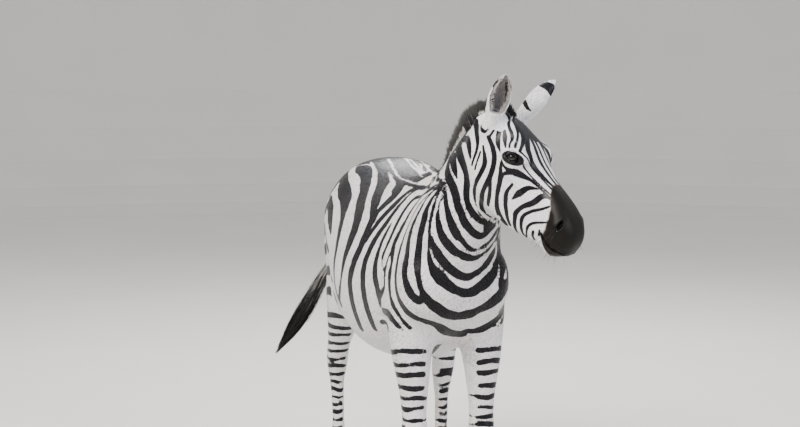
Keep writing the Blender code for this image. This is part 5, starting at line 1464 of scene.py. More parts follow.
class Atlas:
    """Unwraps the skin's own shape: each region is opened like a sleeve, in two halves."""

    def __init__(self, zebra: Zebra) -> None:
        """Lists the regions: 0 trunk, 1 neck, 2 head, 3 and 4 ears, 5 to 8 legs, 9 tail."""
        self.zebra = zebra

    def regions(self, points: np.ndarray) -> np.ndarray:
        """The region of each point."""
        raw = points + ORIGIN
        found = np.zeros(len(points), int)
        share, *_ = self.zebra.neck.locate(points)
        found[(share > 0.30) & (raw[:, 2] > 0.95)] = 1
        at = self.zebra.skull.into(points)
        line = np.interp(at[:, 2], [-0.262, -0.243, -0.17, -0.06], [0.13, 0.035, -0.034, -0.066])
        found[(at[:, 0] > line) & (at[:, 2] > -0.262) & (np.abs(at[:, 1]) < 0.17)] = 2
        for i, ear in enumerate(self.zebra.ears):
            t, _, reach = ear.locate(points)
            found[(t > ear.foot + 0.03) & (reach < 0.048)] = 3 + i
        for i, leg in enumerate(self.zebra.legs):
            top = 0.66 if leg.fore else (0.60 if leg.side > 0 else 0.68)
            near = (points[:, 0] > 0.05) == leg.fore
            found[(raw[:, 2] < top) & near & ((points[:, 1] > 0.03) == (leg.side > 0))] = 5 + i
        t, _, reach = self.zebra.tail.locate(points)
        found[(t > 0.16) & (reach < 0.045)] = 9
        return found

    def sleeve(self, points: np.ndarray, region: int) -> tuple[np.ndarray, ...]:
        """Each point's place along a region, its turn round it and the sleeve's radius."""
        raw = points + ORIGIN
        if region == 0:
            bow = swayed(np.stack([raw[:, 0], np.zeros(len(raw)), raw[:, 2]], 1))[:, 1]
            return raw[:, 0], np.arctan2(raw[:, 1] - bow, raw[:, 2] - 0.95), np.full(len(raw), 0.30)
        if region == 1:
            share, sideways, upwards, _ = self.zebra.neck.locate(points)
            return share * self.zebra.neck.length, np.arctan2(sideways, upwards), np.full(len(raw), 0.14)
        if region == 2:
            at = self.zebra.skull.into(points)
            return at[:, 0], np.arctan2(at[:, 1], at[:, 2] + 0.10), np.full(len(raw), 0.09)
        if region in (3, 4):
            ear = self.zebra.ears[region - 3]
            t, turn, _ = ear.locate(points)
            return t * ear.length, turn, np.full(len(raw), 0.030)
        if region < 9:
            leg = self.zebra.legs[region - 5]
            offset = raw - leg.middle(raw[:, 2])
            return raw[:, 2], np.arctan2(offset[:, 1], offset[:, 0]), np.full(len(raw), 0.045)
        t, turn, _ = self.zebra.tail.locate(points)
        return t * 0.62, turn, np.full(len(raw), 0.022)

    def halves(self, points: np.ndarray, region: int, hint: np.ndarray) -> np.ndarray:
        """Which half of its sleeve each point opens in; in the ears, inside or outside."""
        _, turn, _ = self.sleeve(points, region)
        if region in (3, 4):
            ear = self.zebra.ears[region - 3]
            return (hint @ ear.frame()[2] > 0.25).astype(int)
        if 5 <= region < 9:
            return (np.abs(turn) > math.pi / 2).astype(int)
        return (turn > 0).astype(int)

    def opened(self, points: np.ndarray, region: int, half: int) -> np.ndarray:
        """Flat coordinates in metres of points in one half of a region."""
        along, turn, radius = self.sleeve(points, region)
        if region in (3, 4):
            middle = 0.0
        elif 5 <= region < 9:
            middle = math.pi * half
        else:
            middle = math.pi * (half - 0.5)
        offset = (turn - middle + math.pi) % (2 * math.pi) - math.pi
        return np.stack([along, offset * radius], 1)

    @staticmethod
    def packed(sizes: list[tuple[float, float]], gap: float = 0.012) -> tuple[list[tuple[float, float]],
            float]:
        """Places rectangles in a square, in shelves, and tells the square's side."""
        order = sorted(range(len(sizes)), key=lambda i: -sizes[i][1])
        low, high = 0.1, 12.0
        best: list[tuple[float, float]] = []
        for _ in range(30):
            side = 0.5 * (low + high)
            x, y, shelf, fits = gap, gap, 0.0, True
            places: list[tuple[float, float]] = [(0.0, 0.0)] * len(sizes)
            for i in order:
                w, h = sizes[i]
                if x + w + gap > side:
                    x, y, shelf = gap, y + shelf + gap, 0.0
                if x + w + gap > side or y + h + gap > side:
                    fits = False
                    break
                places[i] = (x, y)
                x += w + gap
                shelf = max(shelf, h)
            if fits:
                best, high = places, side
            else:
                low = side
        return best, high

    def unwrap(self, mesh: bpy.types.Mesh) -> None:
        """Gives the skin its bake map and a map in metres along the lie of the hair."""
        co = coordinates(mesh)
        count = len(mesh.polygons)
        centre = np.empty(3 * count, np.float32)
        mesh.polygons.foreach_get("center", centre)
        centre = centre.reshape(-1, 3).astype(float)
        out = np.empty(3 * count, np.float32)
        mesh.polygons.foreach_get("normal", out)
        out = out.reshape(-1, 3).astype(float)
        total = np.empty(count, np.int32)
        mesh.polygons.foreach_get("loop_total", total)
        corner = np.empty(len(mesh.loops), np.int32)
        mesh.loops.foreach_get("vertex_index", corner)
        face_of = np.repeat(np.arange(count), total)
        region = self.regions(centre)
        flat = np.zeros((len(corner), 2))
        chart = np.full(len(corner), -1)
        sizes, lows, number = [], [], 0
        for r in range(10):
            faces = region == r
            if not faces.any():
                continue
            half = np.zeros(count, int)
            half[faces] = self.halves(centre[faces], r, out[faces])
            for h in (0, 1):
                loops = np.flatnonzero((faces & (half == h))[face_of])
                if not len(loops):
                    continue
                uv = self.opened(co[corner[loops]], r, h)
                flat[loops] = uv
                chart[loops] = number
                low = uv.min(0)
                sizes.append(tuple(uv.max(0) - low))
                lows.append(low)
                number += 1
        places, side = self.packed(sizes)
        lie = mesh.uv_layers.new(name="Lie")
        lie.data.foreach_set("uv", (flat + 3.0).astype(np.float32).ravel())
        bake = mesh.uv_layers.new(name="OFBake")
        shift = np.array([np.array(p) - low for p, low in zip(places, lows)])
        bake.data.foreach_set("uv", ((flat + shift[chart]) / side).astype(np.float32).ravel())
        bake.active = True
        bake.active_render = True

    def roots(self, points: np.ndarray, out: np.ndarray) -> np.ndarray:
        """Places from 0 to 1 for the roots of one coat piece, on an unwrap of the skin that it covers."""
        region = self.regions(points)
        flat = np.zeros((len(points), 2))
        chart = np.full(len(points), -1)
        sizes, lows, number = [], [], 0
        for r in np.unique(region):
            rows = np.flatnonzero(region == r)
            half = self.halves(points[rows], int(r), out[rows])
            for h in (0, 1):
                some = rows[half == h]
                if not len(some):
                    continue
                uv = self.opened(points[some], int(r), h)
                flat[some] = uv
                chart[some] = number
                sizes.append(tuple(np.maximum(uv.max(0) - uv.min(0), 0.002)))
                lows.append(uv.min(0))
                number += 1
        places, side = self.packed(sizes, gap=0.004)
        shift = np.array([np.array(p) - low for p, low in zip(places, lows)])
        return np.clip((flat + shift[chart]) / side, 0.002, 0.996)


# ---------------------------------------------------------------- finishes


def hex_colour(code: str) -> tuple[float, float, float, float]:
    """An sRGB hex value as linear light."""
    values = [int(code[i:i + 2], 16) / 255 for i in (1, 3, 5)]
    return (*(v / 12.92 if v <= 0.04045 else ((v + 0.055) / 1.055) ** 2.4 for v in values), 1.0)


def add_node(material: bpy.types.Material, kind: str, settings: dict | None = None,
             links: dict | None = None) -> bpy.types.Node:
    """Adds one shader node.

    Args:
        material: the material that it goes in.
        kind: the node's type.
        settings: properties by name, or socket values by their name or number.
        links: sockets by name or number, each with the output that feeds it.

    Returns:
        The node.
    """
    made = material.node_tree.nodes.new(kind)
    for key, value in (settings or {}).items():
        if isinstance(key, str) and hasattr(made, key):
            setattr(made, key, value)
        else:
            made.inputs[key].default_value = value
    for key, source in (links or {}).items():
        material.node_tree.links.new(source, made.inputs[key])
    return made


@dataclass(frozen=True)
class Finish:
    """A material with one shader, ready for its own nodes."""

    name: str

    def start(self) -> tuple[bpy.types.Material, bpy.types.Node]:
        """An empty material and its shader."""
        made = bpy.data.materials.new(self.name)
        made.use_nodes = True
        return made, made.node_tree.nodes["Principled BSDF"]

    def value(self, made: bpy.types.Material, name: str) -> bpy.types.NodeSocket:
        """The socket of a number stored on the mesh."""
        return add_node(made, "ShaderNodeAttribute", {"attribute_name": name}).outputs["Fac"]

    def blend(self, made: bpy.types.Material, share: bpy.types.NodeSocket, low: object,
              high: object) -> bpy.types.NodeSocket:
        """A mix of two colours, each a hex value or a socket."""
        mix = add_node(made, "ShaderNodeMix", {"data_type": "RGBA"}, {0: share})
        for socket, colour in ((mix.inputs[6], low), (mix.inputs[7], high)):
            if isinstance(colour, str):
                socket.default_value = hex_colour(colour)
            else:
                made.node_tree.links.new(colour, socket)
        return mix.outputs[2]

    def ramp(self, made: bpy.types.Material, source: bpy.types.NodeSocket, low: float,
             high: float) -> bpy.types.NodeSocket:
        """0 below low, 1 above high, smooth between."""
        links = {"Value": source}
        node = add_node(made, "ShaderNodeMapRange",
                        {"interpolation_type": "SMOOTHSTEP", "From Min": low, "From Max": high}, links)
        return node.outputs["Result"]

    def noise(self, made: bpy.types.Material, at: bpy.types.NodeSocket, scale: float,
              detail: float = 2.0) -> bpy.types.NodeSocket:
        """A soft noise, its scale in waves a metre."""
        return add_node(made, "ShaderNodeTexNoise", {"Scale": scale, "Detail": detail},
                        {"Vector": at}).outputs["Fac"]

    def maths(self, made: bpy.types.Material, how: str, a: object, b: object) -> bpy.types.NodeSocket:
        """One sum of two sockets or numbers."""
        node = add_node(made, "ShaderNodeMath", {"operation": how})
        for i, term in enumerate((a, b)):
            if isinstance(term, (int, float)):
                node.inputs[i].default_value = term
            else:
                made.node_tree.links.new(term, node.inputs[i])
        return node.outputs[0]


@dataclass(frozen=True)
class CoatHair(Finish):
    """Short sleek hair over hide: cool white and blue-black bands, a soft low gloss along the lie.

    On the skin the single hairs are a bump; the tufts carry theirs in their shape.
    """

    name: str = "zebra_short_hair"
    on_skin: bool = True
    white: str = "#E3E2E4"
    white_shade: str = "#C6C5CA"
    dusty: str = "#C2AC92"
    black: str = "#131317"
    black_sheen: str = "#26262D"
    muzzle: str = "#15120F"
    muzzle_fringe: str = "#3F2E22"
    ear_skin: str = "#8B898B"
    bare_skin: str = "#100E0E"

    def build(self) -> bpy.types.Material:
        """The material's nodes."""
        made, shader = self.start()
        at = add_node(made, "ShaderNodeTexCoord").outputs["Object"]
        band, muzzle = self.value(made, "band"), self.value(made, "muzzle")
        inner, dust, bare = self.value(made, "inner"), self.value(made, "dust"), self.value(made, "bare")
        ragged = self.maths(made, "SUBTRACT", self.noise(made, at, 420.0, 3.0), 0.5)  # hairs 2.4 mm apart
        edge = self.maths(made, "ADD", band, self.maths(made, "MULTIPLY", ragged, 0.0042))
        share = self.ramp(made, edge, -0.0011, 0.0011)
        clouds = self.noise(made, at, 9.0, 3.0)
        fine = self.noise(made, at, 160.0, 3.0)
        light = self.blend(made, self.ramp(made, fine, 0.30, 0.75), self.white_shade, self.white)
        dirt = self.maths(made, "MULTIPLY", dust, self.ramp(made, clouds, 0.25, 0.75))
        light = self.blend(made, dirt, light, self.dusty)
        dark = self.blend(made, self.ramp(made, fine, 0.35, 0.80), self.black, self.black_sheen)
        colour = self.blend(made, share, dark, light)
        fringe = self.blend(made, self.ramp(made, muzzle, 0.25, 0.95), self.muzzle_fringe, self.muzzle)
        colour = self.blend(made, self.ramp(made, muzzle, 0.05, 0.55), colour, fringe)
        pale = self.blend(made, share, "#2A2625", self.ear_skin)
        colour = self.blend(made, inner, colour, pale)
        colour = self.blend(made, bare, colour, self.bare_skin)
        made.node_tree.links.new(colour, shader.inputs["Base Color"])
        rough = self.blend(made, share, "#909090", "#B4B4B4")
        rough = self.blend(made, bare, rough, "#5A5A5A")
        made.node_tree.links.new(rough, shader.inputs["Roughness"])
        shader.inputs["Specular IOR Level"].default_value = 0.28
        shader.inputs["Sheen Weight"].default_value = 0.04
        shader.inputs["Sheen Roughness"].default_value = 0.45
        if self.on_skin:
            lie = add_node(made, "ShaderNodeUVMap", {"uv_map": "Lie"}).outputs["UV"]
            # Hairs 12 mm long and 1.1 mm apart: real ones are finer, and would not show.
            comb = add_node(made, "ShaderNodeMapping", {"Scale": (85.0, 900.0, 1.0)},
                            {"Vector": lie}).outputs["Vector"]
            hairs = self.noise(made, comb, 1.0, 2.0)
            pores = self.noise(made, at, 700.0, 2.0)
            height = add_node(made, "ShaderNodeMix", {"data_type": "FLOAT"},
                              {0: bare, 2: hairs, 3: pores}).outputs[0]
            bump = add_node(made, "ShaderNodeBump", {"Strength": 0.30, "Distance": 0.0012},
                            {"Height": height})
            made.node_tree.links.new(bump.outputs["Normal"], shader.inputs["Normal"])
        return made


@dataclass(frozen=True)
class LongHair(Finish):
    """Coarse hair of mane or tail: banded white and black, darker at the tips, with a satin gloss."""

    name: str = "zebra_mane_hair"
    white: str = "#D9D7D6"
    black: str = "#111114"
    tip: str = "#171310"
    tip_from: float = 0.72

    def build(self) -> bpy.types.Material:
        """The material's nodes."""
        made, shader = self.start()
        band, along, shade = self.value(made, "band"), self.value(made, "along"), self.value(made, "shade")
        share = self.ramp(made, band, -0.002, 0.002)
        colour = self.blend(made, share, self.black, self.white)
        colour = self.blend(made, self.maths(made, "MULTIPLY", shade, 0.22), colour, "#5C554F")
        colour = self.blend(made, self.ramp(made, along, self.tip_from, min(self.tip_from + 0.2, 1.0)),
                            colour, self.tip)
        made.node_tree.links.new(colour, shader.inputs["Base Color"])
        shader.inputs["Roughness"].default_value = 0.52
        shader.inputs["Specular IOR Level"].default_value = 0.40
        shader.inputs["Sheen Weight"].default_value = 0.12
        return made


@dataclass(frozen=True)
class EyeGloss(Finish):
    """A wet eyeball: near-black iris round a level pupil, under a clear coat that catches the lights."""

    name: str = "zebra_wet_eye"

    def build(self) -> bpy.types.Material:
        """The material's nodes."""
        made, shader = self.start()
        at = add_node(made, "ShaderNodeTexCoord").outputs["Object"]
        iris, pupil = self.value(made, "iris"), self.value(made, "pupil")
        streaks = self.noise(made, at, 900.0, 3.0)
        brown = self.blend(made, streaks, "#0E0805", "#20120B")
        colour = self.blend(made, pupil, brown, "#030303")
        colour = self.blend(made, self.ramp(made, iris, 0.95, 1.05), colour, "#2B1B14")
        made.node_tree.links.new(colour, shader.inputs["Base Color"])
        shader.inputs["Roughness"].default_value = 0.12
        shader.inputs["Coat Weight"].default_value = 1.0
        shader.inputs["Coat Roughness"].default_value = 0.03
        return made


@dataclass(frozen=True)
class Horn(Finish):
    """Hoof horn: dark grey, with fine upright tubes and level growth rings, dull from wear."""

    name: str = "zebra_hoof_horn"

    def build(self) -> bpy.types.Material:
        """The material's nodes."""
        made, shader = self.start()
        at = add_node(made, "ShaderNodeTexCoord").outputs["Object"]
        upright = add_node(made, "ShaderNodeMapping", {"Scale": (900.0, 900.0, 40.0)},
                           {"Vector": at}).outputs["Vector"]
        tubes = self.noise(made, upright, 1.0, 3.0)
        level = add_node(made, "ShaderNodeMapping", {"Scale": (20.0, 20.0, 260.0)},
                         {"Vector": at}).outputs["Vector"]
        rings = self.noise(made, level, 1.0, 1.0)
        colour = self.blend(made, self.ramp(made, tubes, 0.3, 0.7), "#1E1B19", "#3A352F")
        colour = self.blend(made, self.ramp(made, rings, 0.35, 0.7), colour, "#4A4239")
        colour = self.blend(made, self.ramp(made, self.value(made, "wear"), 0.0, 1.0), colour, "#6B5F50")
        made.node_tree.links.new(colour, shader.inputs["Base Color"])
        shader.inputs["Roughness"].default_value = 0.48
        height = self.maths(made, "ADD", tubes, rings)
        bump = add_node(made, "ShaderNodeBump", {"Strength": 0.35, "Distance": 0.0008}, {"Height": height})
        made.node_tree.links.new(bump.outputs["Normal"], shader.inputs["Normal"])
        return made


@dataclass(frozen=True)
class FineHair(Finish):
    """Stiff single hairs, such as whiskers and lashes, or the soft pale ones in the ears."""

    name: str = "zebra_whisker"
    colour: str = "#15110F"
    shade: str = "#3A2F28"

    def build(self) -> bpy.types.Material:
        """The material's nodes."""
        made, shader = self.start()
        at = add_node(made, "ShaderNodeTexCoord").outputs["Object"]
        colour = self.blend(made, self.ramp(made, self.noise(made, at, 220.0), 0.4, 0.6), self.colour,
                            self.shade)
        made.node_tree.links.new(colour, shader.inputs["Base Color"])
        shader.inputs["Roughness"].default_value = 0.45
        return made


@dataclass(frozen=True)
class Plaster(Finish):
    """A matt pale studio floor, very slightly clouded, so that only shadows draw the eye."""

    name: str = "pale_matt_floor"

    def build(self) -> bpy.types.Material:
        """The material's nodes."""
        made, shader = self.start()
        at = add_node(made, "ShaderNodeTexCoord").outputs["Object"]
        colour = self.blend(made, self.noise(made, at, 1.3), "#D3D0CB", "#DAD7D2")
        made.node_tree.links.new(colour, shader.inputs["Base Color"])
        shader.inputs["Roughness"].default_value = 0.85
        return made


# ---------------------------------------------------------------- hair and tufts


@dataclass
class Locks:
    """Many thin solid blades of hair, each with a root, a middle and a tip."""

    roots: np.ndarray
    out: np.ndarray
    aim: np.ndarray
    length: np.ndarray
    width: np.ndarray
    lift: np.ndarray
    curl: np.ndarray | None = None
    thickness: float = 0.22

    def mesh(self, name: str, places: np.ndarray, values: dict[str, np.ndarray],
             patch: float = 0.003) -> bpy.types.Mesh:
        """One mesh of all the blades.

        Args:
            name: the mesh's name.
            places: each root's place on the bake map.
            values: numbers for each blade, stored on all its points.
            patch: the width of a blade's patch on the map.

        Returns:
            The mesh, with the bake map, the values and `along`, 0 at the root and 1 at the tip.
        """
        count = len(self.roots)
        aim = unit(self.aim - (self.aim * self.out).sum(1, keepdims=True) * self.out)
        side = np.cross(self.out, aim)
        curl = np.zeros_like(self.roots) if self.curl is None else self.curl
        length, width = self.length[:, None], self.width[:, None]
        points = np.empty((count, 7, 3))
        root = self.roots - 0.0008 * self.out
        for k, (along, half) in enumerate(((0.0, 0.42), (0.48, 0.50))):
            rise = self.lift[:, None] * along * (1.6 - 0.6 * along)
            centre = root + aim * length * along + self.out * rise + curl * along**2
            high = width * self.thickness * (1.0 if k else 0.7)
            points[:, 3 * k] = centre - side * width * half
            points[:, 3 * k + 1] = centre + side * width * half
            points[:, 3 * k + 2] = centre + self.out * high
        points[:, 6] = root + aim * length + self.out * self.lift[:, None] + curl
        shape = np.array([(0, 1, 4), (0, 4, 3), (1, 2, 5), (1, 5, 4), (2, 0, 3), (2, 3, 5), (0, 2, 1),
                          (3, 4, 6), (4, 5, 6), (5, 3, 6)])
        triangles = (shape[None] + 7 * np.arange(count)[:, None, None]).reshape(-1, 3)
        mesh = triangle_mesh(name, points.reshape(-1, 3), triangles)
        for key, value in values.items():
            set_attribute(mesh, key, (value if value.ndim == 2 else np.repeat(value[:, None], 7, 1)).ravel())
        set_attribute(mesh, "along", np.tile([0.0, 0.0, 0.0, 0.48, 0.48, 0.48, 1.0], count))
        spot = np.array([(0, 0), (1, 0), (0.5, 0.1), (0, 0.5), (1, 0.5), (0.5, 0.6),
                         (0.5, 1)]) * patch - patch / 2
        uv = places[:, None, :] + spot[None]
        layer = mesh.uv_layers.new(name="OFBake")
        corner = triangles.ravel()
        layer.data.foreach_set("uv", uv.reshape(-1, 2)[corner].astype(np.float32).ravel())
        return mesh


@dataclass(frozen=True)
class Fur:
    """How the coat grows in one kind of place: spacing, length, width and lift, in metres."""

    spacing: float
    length: float
    width: float
    lift: float


class CoatPiece(Enum):
    """The coat's pieces, each a share of the body."""

    HEAD = "coat_head"
    NECK = "coat_neck"
    BARREL_RIGHT = "coat_barrel_right"
    BARREL_LEFT = "coat_barrel_left"
    HAUNCH = "coat_haunches"
    FORELEGS = "coat_forelegs"
    HINDLEGS = "coat_hindlegs"


class Coat:
    """Tufts over the whole skin, lying along the body."""

    head = Fur(0.0046, 0.0075, 0.0019, 0.0006)
    face = Fur(0.0050, 0.0055, 0.0015, 0.0004)
    ear = Fur(0.0040, 0.0090, 0.0017, 0.0012)
    body = Fur(0.0064, 0.0130, 0.0030, 0.0012)
    leg = Fur(0.0060, 0.0100, 0.0024, 0.0009)
    most = 19500

    def __init__(self, zebra: Zebra, skin: bpy.types.Mesh, markings: Markings, atlas: Atlas) -> None:
        """Keeps what the tufts grow on."""
        self.zebra, self.skin, self.markings, self.atlas = zebra, skin, markings, atlas
        self.rng = np.random.default_rng(SEED)

    def lie(self, points: np.ndarray, region: np.ndarray) -> np.ndarray:
        """The way the hair lies at each point."""
        skull, neck = self.zebra.skull, self.zebra.neck
        way = np.tile([-1.0, 0.0, -0.45], (len(points), 1))
        share, *_ = neck.locate(points)
        throat, _, _, _, _, ahead = neck.frames(np.clip(share, 0, 1))
        down_neck = -ahead + np.array([0.0, 0.0, -0.35])
        in_neck = step_between(0.15, 0.40, share)[:, None] * (points[:, 2:3] > 0.95)
        way = way * (1 - in_neck) + down_neck * in_neck
        at = skull.into(points)
        face = np.stack([np.ones(len(at)), 0.15 * np.sign(at[:, 1]), -0.35 * np.ones(len(at))], 1)
        cheek = np.stack([-0.25 * np.ones(len(at)), np.zeros(len(at)), -np.ones(len(at))], 1)
        jowl = (step_between(0.22, 0.10, at[:, 0]) * step_between(-0.05, -0.10, at[:, 2]))[:, None]
        on_face = skull.directions(face * (1 - jowl) + cheek * jowl)
        way = np.where((region == 2)[:, None], on_face, way)
        for i, ear in enumerate(self.zebra.ears):
            way = np.where((region == 3 + i)[:, None], ear.frame()[1], way)
        low = (region >= 5) & (region < 9)
        way = np.where(low[:, None], np.array([-0.10, 0.0, -1.0]), way)
        drop = (1 - step_between(0.66, 0.90, points[:, 2]))[:, None] * (~low & (region == 0))[:, None]
        way = way * (1 - 0.6 * drop) + np.array([-0.4, 0.0, -1.0]) * 0.6 * drop
        t, _, _ = self.zebra.tail.locate(points)
        down_tail = self.zebra.tail.frames(np.clip(t, 0, 1))[3] if (region == 9).any() else way
        way = np.where((region == 9)[:, None], down_tail, way)
        return unit(way)

    def scattered(self) -> dict[str, np.ndarray]:
        """Roots spread evenly over the skin, with normals, regions and spacings."""
        mesh = self.skin
        mesh.calc_loop_triangles()
        count = len(mesh.loop_triangles)
        corner = np.empty(3 * count, np.int32)
        mesh.loop_triangles.foreach_get("vertices", corner)
        corner = corner.reshape(-1, 3)
        co, out = coordinates(mesh), normals(mesh)
        a, b, c = co[corner[:, 0]], co[corner[:, 1]], co[corner[:, 2]]
        area = 0.5 * np.linalg.norm(np.cross(b - a, c - a), axis=1)
        centre = (a + b + c) / 3
        region = self.atlas.regions(centre)
        spacing = np.full(count, self.body.spacing)
        spacing[region == 2] = self.head.spacing
        spacing[(region == 3) | (region == 4)] = self.ear.spacing
        low = (region >= 5) & (region < 9)
        spacing[low] = self.leg.spacing
        wanted = area / spacing**2
        number = np.floor(wanted + self.rng.random(count)).astype(int)
        chosen = np.repeat(np.arange(count), number)
        r = np.sqrt(self.rng.random(len(chosen)))[:, None]
        s = self.rng.random(len(chosen))[:, None]
        weights = np.concatenate([1 - r, r * (1 - s), r * s], 1)
        corners = corner[chosen]
        roots = (co[corners] * weights[:, :, None]).sum(1)
        normal = unit((out[corners] * weights[:, :, None]).sum(1))
        return {"roots": roots, "out": normal, "region": region[chosen]}

    def build(self, material: bpy.types.Material) -> list[bpy.types.Object]:
        """Every coat piece."""
        found = self.scattered()
        roots, out, region = found["roots"], found["out"], found["region"]
        values = self.markings.read(roots)
        keep = (values["bare"] < 0.4) & (roots[:, 2] > 0.070)
        inside = values["inner"] > 0.5
        keep &= ~(inside & (self.rng.random(len(roots)) < 0.5))
        roots, out, region = roots[keep], out[keep], region[keep]
        values = {key: value[keep] for key, value in values.items()}
        count = len(roots)
        aim = self.lie(roots, region)
        sideways = np.cross(out, aim)
        aim = aim + 0.20 * self.rng.normal(size=(count, 1)) * sideways
        aim = unit(aim - (aim * out).sum(1, keepdims=True) * out)
        length, width, lift = np.empty(count), np.empty(count), np.empty(count)
        at = self.zebra.skull.into(roots)
        on_face = (region == 2) & (at[:, 0] > 0.20)
        for rows, fur in ((np.ones(count, bool), self.body), (region == 2, self.head), (on_face, self.face),
                          ((region == 3) | (region == 4), self.ear),
                          ((region >= 5) & (region < 9), self.leg)):
            length[rows], width[rows], lift[rows] = fur.length, fur.width, fur.lift
        length *= self.rng.uniform(0.75, 1.25, count)
        width *= self.rng.uniform(0.8, 1.2, count)
        lift *= self.rng.uniform(0.4, 1.3, count)
        raw_x = roots[:, 0]
        pieces = {
            CoatPiece.HEAD: (region == 2) | (region == 3) | (region == 4),
            CoatPiece.NECK: region == 1,
            CoatPiece.BARREL_RIGHT: (region == 0) & (raw_x > -0.36) & (roots[:, 1] <= 0.03),
            CoatPiece.BARREL_LEFT: (region == 0) & (raw_x > -0.36) & (roots[:, 1] > 0.03),
            CoatPiece.HAUNCH: ((region == 0) & (raw_x <= -0.36)) | (region == 9),
            CoatPiece.FORELEGS: (region == 5) | (region == 6),
            CoatPiece.HINDLEGS: (region == 7) | (region == 8),
        }
        objects = []
        for piece, rows in pieces.items():
            rows = np.flatnonzero(rows)
            log.info("%s: %d tufts", piece.value, len(rows))
            if len(rows) > self.most:
                rows = np.sort(self.rng.choice(rows, self.most, replace=False))
            locks = Locks(roots[rows], out[rows], aim[rows], length[rows], width[rows], lift[rows])
            tips = self.markings.read(roots[rows] + aim[rows] * length[rows][:, None])
            share = np.array([0.0, 0.0, 0.0, 0.48, 0.48, 0.48, 1.0])
            kept = {key: value[rows][:, None] * (1 - share) + tips[key][:, None] * share for key,
                    value in values.items()}
            kept["shade"] = self.rng.random(len(rows))
            mesh = locks.mesh(piece.value, self.atlas.roots(roots[rows], out[rows]), kept)
            mesh.materials.append(material)
            objects.append(add_object(piece.value, mesh))
        return objects


class ManeHair:
    """The upright mane and the forelock, in the colours of the neck's bands."""

    foot: Keys = {0.0: (0.335, 0.008, 1.290), 0.2: (0.420, 0.032, 1.350), 0.4: (0.484, 0.049, 1.412),
                  0.6: (0.548, 0.066, 1.460), 0.8: (0.640, 0.092, 1.500), 0.92: (0.715, 0.112, 1.512),
                  1.0: (0.757, 0.130, 1.500)}
    height: Keys = {0.0: 0.008, 0.1: 0.036, 0.25: 0.074, 0.5: 0.096, 0.7: 0.080, 0.85: 0.062, 0.95: 0.036,
                    1.0: 0.016}
    half_width = 0.017
    lean_back = 6.0
    count = 9000
    clumps = 85

    def __init__(self, zebra: Zebra, markings: Markings) -> None:
        """Keeps the skin that the mane stands on."""
        self.zebra, self.markings = zebra, markings

    def build(self, material: bpy.types.Material) -> bpy.types.Object:
        """The mane as one mesh of blades."""
        rng = np.random.default_rng(SEED + 1)
        t = rng.random(self.count) ** 0.93
        across = rng.uniform(-1, 1, self.count)
        steps = np.linspace(0, 1, 201)
        feet = smooth_curve(self.foot, steps) - ORIGIN
        ahead = unit(np.gradient(feet, steps, axis=0))
        side = unit(np.cross([0, 0, 1.0], ahead))
        up = np.cross(ahead, side)
        row = np.clip((t * 200).astype(int), 0, 200)
        width = self.half_width * (1 - 0.35 * t**4)
        foot = smooth_curve(self.foot, t) - ORIGIN + side[row] * (across * width)[:, None]
        beside = foot + side[row] * np.where(across > 0, 0.026, -0.026)[:, None] - up[row] * 0.020
        foot, beside = (np.array([self.markings.tree.find_nearest(Vector(p))[0] for p in spots])
                        for spots in (foot, beside))
        lean = math.tan(math.radians(self.lean_back))
        clump = np.clip((t * self.clumps + rng.uniform(-0.35, 0.35, self.count)).astype(int), 0,
                        self.clumps - 1)
        sway = rng.normal(0, 0.085, (self.clumps, 3))[clump]
        stand = unit(up[row] - lean * ahead[row] + side[row] * (-0.16 * across[:, None]) + sway
                     + rng.normal(0, 0.03, (self.count, 3)))
        tall = rng.uniform(0.80, 1.0, self.clumps)[clump] * rng.uniform(0.80, 1.0, self.count)
        high = smooth_curve(self.height, t) * tall * (1 - 0.22 * np.abs(across) ** 2)
        values = self.markings.read(beside)
        values = {"band": values["band"], "shade": rng.random(self.count)}
        locks = Locks(foot - stand * 0.002, side[row]
                      * np.where(rng.random((self.count, 1)) > 0.5, 1.0, -1.0), stand, high,
                      rng.uniform(0.0026, 0.0048, self.count), np.zeros(self.count),
                      rng.normal(0, 0.0035, (self.count, 3)), 0.20)
        places = np.stack([t, 0.5 + 0.48 * across], 1) * 0.99 + 0.005
        mesh = locks.mesh("mane", places, values, patch=0.006)
        mesh.materials.append(material)
        return add_object("mane_hair", mesh)


